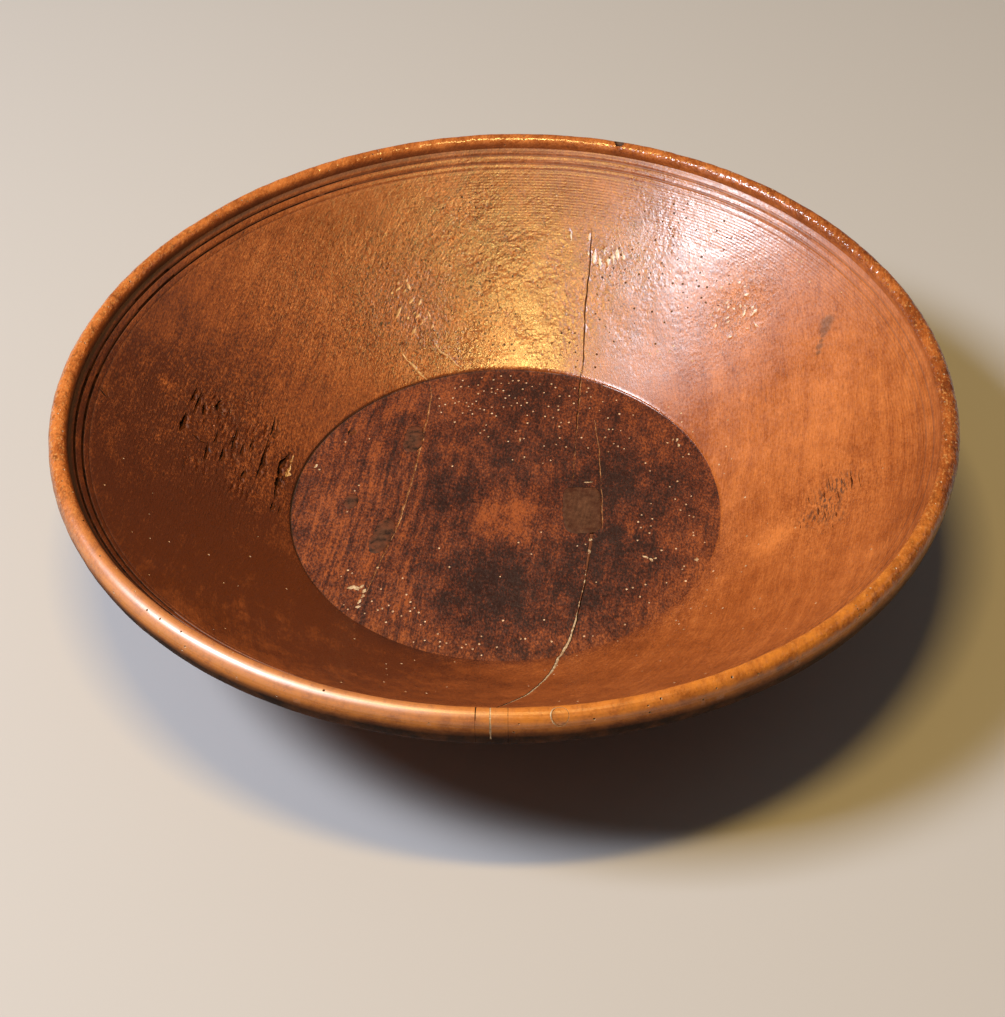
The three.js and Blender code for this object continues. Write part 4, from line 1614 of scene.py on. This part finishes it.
# Worm holes: a small tapered cutter on each point, its end in a finish of its own
def wormHoles():
    tree, given, out = newGroup("wormHoles", "GeometryNodeTree", [
        ("mesh", "Geometry", None),
        ("radius", "Float", 0.0006),
        ("depth", "Float", 0.001),
        ("smallest", "Float", 0.7),
        ("largest", "Float", 1.2),
        ("seed", "Int", 1),
        ("sides", "Material", None),
        ("ends", "Material", None),
    ], [("mesh", "Geometry")])
    cone = newNode(tree, "GeometryNodeMeshCone", {
        "Vertices": 8,
        "Radius Bottom": times(tree, given["radius"], 0.62),
        "Radius Top": times(tree, given["radius"], 1.38),
        "Depth": times(tree, given["depth"], 2.0),
    })
    marked = newNode(tree, "GeometryNodeStoreNamedAttribute", {
        "Geometry": cone.outputs["Mesh"],
        "Name": "flank",
        "Value": cone.outputs["Side"],
    }, data_type="BOOLEAN", domain="FACE")
    sunk = newNode(tree, "GeometryNodeTransform", {
        "Geometry": marked.outputs[0],
        "Translation": joined(tree, 0.0, 0.0, times(tree, given["depth"], -1.0)),
    })
    facing = newNode(tree, "GeometryNodeInputNamedAttribute", {"Name": "facing"}, data_type="FLOAT_VECTOR")
    upright = newNode(tree, "FunctionNodeAlignRotationToVector", {"Vector": facing.outputs[0]}, axis="Z")
    size = newNode(tree, "FunctionNodeRandomValue", {
        2: given["smallest"],
        3: given["largest"],
        "Seed": given["seed"],
    })
    spread = newNode(tree, "GeometryNodeInstanceOnPoints", {
        "Points": given["mesh"],
        "Instance": sunk.outputs[0],
        "Rotation": upright.outputs[0],
        "Scale": size.outputs[1],
    })
    real = newNode(tree, "GeometryNodeRealizeInstances", {0: spread.outputs[0]})
    flank = newNode(tree, "GeometryNodeInputNamedAttribute", {"Name": "flank"}, data_type="BOOLEAN")
    ends = newNode(tree, "GeometryNodeSetMaterial", {"Geometry": real.outputs[0], "Material": given["ends"]})
    sides = newNode(tree, "GeometryNodeSetMaterial", {
        "Geometry": ends.outputs[0],
        "Selection": flank.outputs[0],
        "Material": given["sides"],
    })
    wire(tree, sides.outputs[0], out["mesh"])
    return tree


# A few more holes on the bead, in front and outside, where the photo is too coarse or shows nothing
strayHoles = {
    "seed": 7,
    "bead": 130,
    "beadLean": (-0.3, 2.6),
    "front": 60,
    "frontRadius": (112, 188),
    "outside": 40,
    "outsideHeight": (20, 70),
}


def strayRays():
    draw = np.random.default_rng(strayHoles["seed"])
    for angle in draw.uniform(0, 2 * math.pi, strayHoles["bead"]):
        lean = draw.uniform(*strayHoles["beadLean"])
        middle = Vector((beadMiddle * math.cos(angle), beadMiddle * math.sin(angle), beadLevel))
        outward = Vector((math.cos(angle) * math.cos(lean), math.sin(angle) * math.cos(lean), math.sin(lean)))
        yield middle + outward * 30 * mm, -outward
    for angle in draw.uniform(math.radians(180), math.radians(360), strayHoles["front"]):
        r = draw.uniform(*strayHoles["frontRadius"]) * mm
        yield Vector((r * math.cos(angle), r * math.sin(angle), skyHeight)), Vector((0, 0, -1))
    for angle in draw.uniform(0, 2 * math.pi, strayHoles["outside"]):
        level = draw.uniform(*strayHoles["outsideHeight"]) * mm
        outward = Vector((math.cos(angle), math.sin(angle), 0))
        yield outward * 0.3 + Vector((0, 0, level)), -outward


def landed(name, rays):
    surface = findSurface(body)
    hits = [surface.ray_cast(start, direction) for start, direction in rays]
    hits = [hit for hit in hits if hit[0]]
    points = addObject(name, [hit[0] for hit in hits], [])
    facing = points.data.attributes.new("facing", "FLOAT_VECTOR", "POINT")
    facing.data.foreach_set("vector", np.array([hit[1] for hit in hits], np.float32).ravel())
    return points


# Radius, depth, smallest and largest size, seed, finish of the hole's end
wormSettings = {
    "floorHoles": (0.52 * mm, 0.25 * mm, 0.75, 1.2, 12, "wormDust"),
    "wallHoles": (0.52 * mm, 0.7 * mm, 0.6, 1.35, 5, "splitShade"),
    "dustyHoles": (0.56 * mm, 0.25 * mm, 0.65, 1.15, 8, "wormDust"),
    "strayHoles": (0.56 * mm, 0.6 * mm, 0.5, 1.1, 3, "splitShade"),
}
wormSpots = {"floorHoles": floorHoles, "wallHoles": wallHoles, "dustyHoles": dustyHoles}
wormRays = {name: raysDown(*(np.array(spots) * mm).T) for name, spots in wormSpots.items()}
wormRays["strayHoles"] = list(strayRays())
wormTree = wormHoles()
for name, (radius, depth, smallest, largestSize, seed, finish) in wormSettings.items():
    holes = landed(name, wormRays[name])
    growNodes(holes, wormTree, {
        "radius": radius, "depth": depth, "smallest": smallest, "largest": largestSize, "seed": seed,
        "sides": finishes["wormDust"], "ends": finishes[finish],
    })
    combine(body, holes)
print("worm holes cut:", triangles(body), "triangles")

# Slits in the torn patches: points in plan, width, depth in millimetres
leftSlits = [
    ([(-151.0, 50.6), (-153.5, 40.3)], 1.0, 1.4), ([(-148.6, 49.1), (-151.7, 34)], 0.9, 1.2),
    ([(-154.6, 33), (-156.9, 18.5)], 2.1, 2.3), ([(-146.9, 43.5), (-147.3, 35.1)], 1.5, 1.8),
    ([(-140.0, 49.5), (-141.8, 42.5)], 2.1, 2.2), ([(-151.2, 20.4), (-147.4, 18.4), (-144.6, 18.9)], 0.9, 1.0),
    ([(-144.0, 20.5), (-145.1, 6.3)], 1.2, 1.5), ([(-131.3, 38.2), (-133.5, 20.7)], 1.2, 1.4),
    ([(-136.8, 22.5), (-138.3, 11.3)], 0.9, 1.0), ([(-114.6, 53.4), (-116.6, 41)], 1.2, 0.7),
    ([(-116.8, 39.5), (-121.4, 11.6)], 1.4, 1.5), ([(-107.0, 36.6), (-111.2, 25), (-112.4, 1.9)], 1.8, 2.1),
    ([(-109.3, 20.9), (-109.9, 10.6)], 0.8, 1.0), ([(-112.8, 0), (-113.6, -8)], 0.9, 0.8),
    ([(-109.6, -1), (-110.2, -8)], 0.8, 0.7), ([(-128.2, 31), (-129.5, 20)], 0.7, 0.8),
    ([(-124.2, 37), (-125.4, 26)], 0.7, 0.8), ([(-140.2, 31), (-141.4, 20)], 0.7, 0.9),
    ([(-127.0, 14), (-128.0, 4)], 0.7, 0.8), ([(-192.4, 20.1), (-189.5, 17.6), (-187.2, 15.7)], 0.8, 0.5),
    ([(-78.0, 60), (-78.9, 55)], 1.1, 0.6)]
rightSlits = [
    ([(161.8, -22), (160.2, -38)], 1.3, 0.6), ([(154.9, -31), (154.5, -42)], 1.2, 0.6),
    ([(149.4, -25.5), (149.0, -34)], 1.1, 0.6), ([(145.3, -38), (145.0, -44.5)], 1.0, 0.5),
    ([(152.0, -47.5), (151.8, -53)], 1.1, 0.5), ([(142.8, -26), (142.4, -31.5)], 0.9, 0.5),
    ([(137.0, -43), (136.6, -48)], 0.8, 0.4), ([(149.5, -56), (149.3, -61)], 0.7, 0.4),
    ([(157.6, -20), (157.4, -33)], 0.5, 0.5), ([(164.4, -27), (163.9, -40)], 0.5, 0.5),
    ([(152.2, -18), (152.0, -29)], 0.5, 0.4), ([(147.6, -41), (147.2, -52)], 0.6, 0.4)]
# Raised or bruised lines that show lighter wood, in the same form; their pale gold finish also paints the glints along
# them
paleLines = [
    ([(-53.8, 110), (-50.6, 105.4), (-46, 101.8), (-42.4, 98.2), (-38.9, 96.5)], 0.7, 0.25),
    ([(-35.7, 115.5), (-32.4, 111), (-28, 109.2), (-24.6, 105.6), (-21.6, 104.4)], 0.9, 0.3),
    ([(-105.4, 35), (-106.4, 28), (-107.9, 19.6)], 0.9, 0.25)]
# Flecks painted as glints, pale spots in shallow cuts: at the back left, then beside the split and at the back right.
# From x, y to x, y, then the width.
leftFlecks = [
    (-40.1, 126.4, -43.1, 122.5, 1.0), (-52.6, 130.0, -55.9, 123.5, 0.8), (-51.8, 140.2, -55.7, 136.1, 0.8),
    (-42.5, 134.8, -44.0, 131.0, 0.9), (-43.4, 128.1, -45.4, 125.5, 1.0), (-49.5, 141.0, -48.0, 137.8, 0.8),
    (-46.3, 135.1, -48.7, 131.9, 0.8), (-39.0, 129.5, -37.9, 125.5, 0.8), (-45.2, 121.6, -47.1, 117.7, 0.8),
    (-49.3, 143.4, -50.6, 141.1, 0.8), (-50.2, 138.5, -51.6, 136.4, 0.8), (-36.3, 123.8, -36.9, 121.8, 0.8),
    (-53.7, 141.6, -54.6, 139.5, 0.7), (-45.1, 128.8, -46.6, 127.1, 0.7), (-56.6, 134.7, -56.8, 132.8, 0.7),
    (-57.0, 136.1, -58.0, 134.6, 0.7), (-57.4, 129.1, -58.5, 127.5, 0.7), (-49.1, 125.8, -49.7, 124.3, 0.7),
    (-35.0, 120.6, -36.1, 119.5, 0.7)]
rightFlecks = [
    (49.2, 153.3, 48.5, 148.1, 0.9), (60.9, 152.4, 61.0, 147.0, 0.9), (63.7, 151.0, 64.3, 146.4, 0.8),
    (51.5, 150.3, 51.9, 146.0, 0.8), (54.8, 154.0, 54.1, 151.6, 0.8), (56.2, 149.4, 56.2, 145.2, 0.8),
    (58.6, 150.6, 58.9, 145.6, 0.8), (45.9, 153.9, 46.0, 152.1, 0.7), (46.7, 161.4, 46.6, 158.4, 0.4),
    (37.2, 164.0, 37.4, 159.8, 0.45), (129.2, 100.0, 126.6, 97.7, 1.1), (124.1, 102.2, 122.4, 99.2, 1.0),
    (116.3, 110.2, 114.3, 109.1, 1.1), (123.8, 109.2, 126.3, 108.9, 0.9), (114.9, 91.7, 116.9, 91.6, 0.8),
    (128.1, 102.3, 126.8, 100.8, 0.9), (127.9, 92.6, 129.8, 90.2, 0.8), (109.5, 101.4, 108.7, 99.8, 0.8),
    (122.6, 116.9, 121.3, 116.7, 0.8), (116.3, 107.7, 115.3, 106.8, 0.8), (111.9, 108.4, 110.2, 107.8, 0.8),
    (116.1, 102.6, 114.6, 101.7, 0.8), (113.9, 118.3, 111.9, 117.6, 0.8), (123.5, 113.7, 125.0, 113.1, 0.8),
    (121.6, 105.9, 121.5, 104.0, 0.9), (123.5, 104.6, 124.6, 103.1, 0.9), (117.8, 106.2, 118.7, 104.4, 0.8),
    (116.2, 100.4, 114.7, 99.6, 0.8), (123.6, 92.6, 124.9, 91.7, 0.7)]
fleckDepth = 0.25
# Pale flakes on the floor: x, y, length, width, turn in degrees
floorFlakes = [
    (-73.0, -54.6, 3.6, 2.4, 20), (-70.4, -55.4, 3.2, 2.2, -30), (-68.0, -54.0, 2.8, 1.6, 50),
    (-66.8, -57.2, 2.8, 1.7, 70), (-67.4, -60.6, 2.4, 1.3, 65), (-68.6, -64.0, 2.6, 1.3, 60),
    (-69.2, -67.6, 2.2, 1.4, 30), (87.6, 43.0, 2.4, 1.1, 100), (87.0, 46.8, 2.6, 1.0, 80),
    (84.9, 47.2, 1.6, 0.8, 60), (66.2, -37.6, 3.0, 1.3, -28), (68.8, -39.4, 2.6, 1.4, -50),
    (70.8, -38.4, 1.6, 1.1, 20), (90.4, -39.6, 2.4, 2.0, 0), (-93.9, 32.2, 3.2, 1.2, 70),
    (-92.2, 29.4, 1.4, 1.0, 0), (8.0, 49.0, 3.4, 0.6, 88), (9.8, 35.4, 2.0, 0.6, 60), (41.0, 16.4, 3.6, 0.7, 4),
    (-60.9, -41.5, 2.0, 0.8, 70)]
flakeSides = 18
flakeProfile = ((0.55, -0.22), (1.0, 0.0), (1.1, 0.5))    # share of the size, height in millimetres


def makeSlits(slits, finish, seed, broad=1.0, shallow=1.0, **shape):
    return united([crack(points, width * mm * broad, depth * mm * shallow, finish, seed + number, 1.0 * mm, **shape)
                   for number, (points, width, depth) in enumerate(slits)])


def makeFlecks(flecks, finish, seed, broad):
    slits = [([(x, y), (endX, endY)], width, fleckDepth) for x, y, endX, endY, width in flecks]
    return makeSlits(slits, finish, seed, broad, taper=3, fray=0.9)


def makeFlake(x, y, length, width, turn):
    swing = math.radians(turn)
    rings = []
    for grow, height in flakeProfile:
        ring = []
        for j in range(flakeSides):
            angle = 2 * math.pi * j / flakeSides
            a, b = length / 2 * grow * math.cos(angle), width / 2 * grow * math.sin(angle)
            rag = 1 + 0.75 * ripple(a + x, b + y, 0, 0.9, 2.0)
            ring.append((x + (a * math.cos(swing) - b * math.sin(swing)) * rag,
                         y + (a * math.sin(swing) + b * math.cos(swing)) * rag))
        ring = np.array(ring) * mm
        rings.append(np.c_[ring, surfaceHeight(*ring.T) + height * mm])
    return addTube("flake", rings, finishes["palePutty"])


marks = [
    makeSlits(leftSlits, "tornWood", 20.0, broad=2.2, shallow=0.45, taper=2.5, lean=0.6, fray=0.6),
    makeSlits(leftSlits, "splitShade", 20.0, broad=0.95, taper=2.2, fray=0.85),
    makeSlits(rightSlits, "tornWood", 50.0, broad=0.7, taper=2.0, fray=0.9),
    makeSlits(paleLines, "goldGlintFleck", 70.0, broad=1.3, taper=3, fray=0.9),
    # the flecks' pale finishes are painted glints
    makeFlecks(leftFlecks, "goldGlintFleck", 90.0, broad=1.3),
    makeFlecks(rightFlecks, "whiteGlintFleck", 130.0, broad=1.5),
    united([makeFlake(*flake) for flake in floorFlakes]),
]
for mark in marks:
    combine(body, mark)
print("torn grain cut:", triangles(body), "triangles")

darkenShadedLines(body.data)
for piece in (body, rimPatch, rimPeg):
    dullOutside(piece.data)
    paintBowl(piece.data)
smoothed(body, 32)
for piece in (rimPatch, rimPeg, splitFilling, *floorPieces.values()):
    smoothed(piece, 40)

replacing = {
    "bowl_body": (body, "bowl_wood"),
    "split_filling": (splitFilling, "pale_filling"),
    "rim_patch": (rimPatch, "rim_wood"),
    "rim_peg": (rimPeg, "rim_wood"),
}
for node, piece in floorPieces.items():
    replacing[node] = (piece, floorRepairs[node]["slot"])
for node, (piece, slot) in replacing.items():
    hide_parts(node)
    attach(piece, "root")
print("pieces in place:", len(replacing))
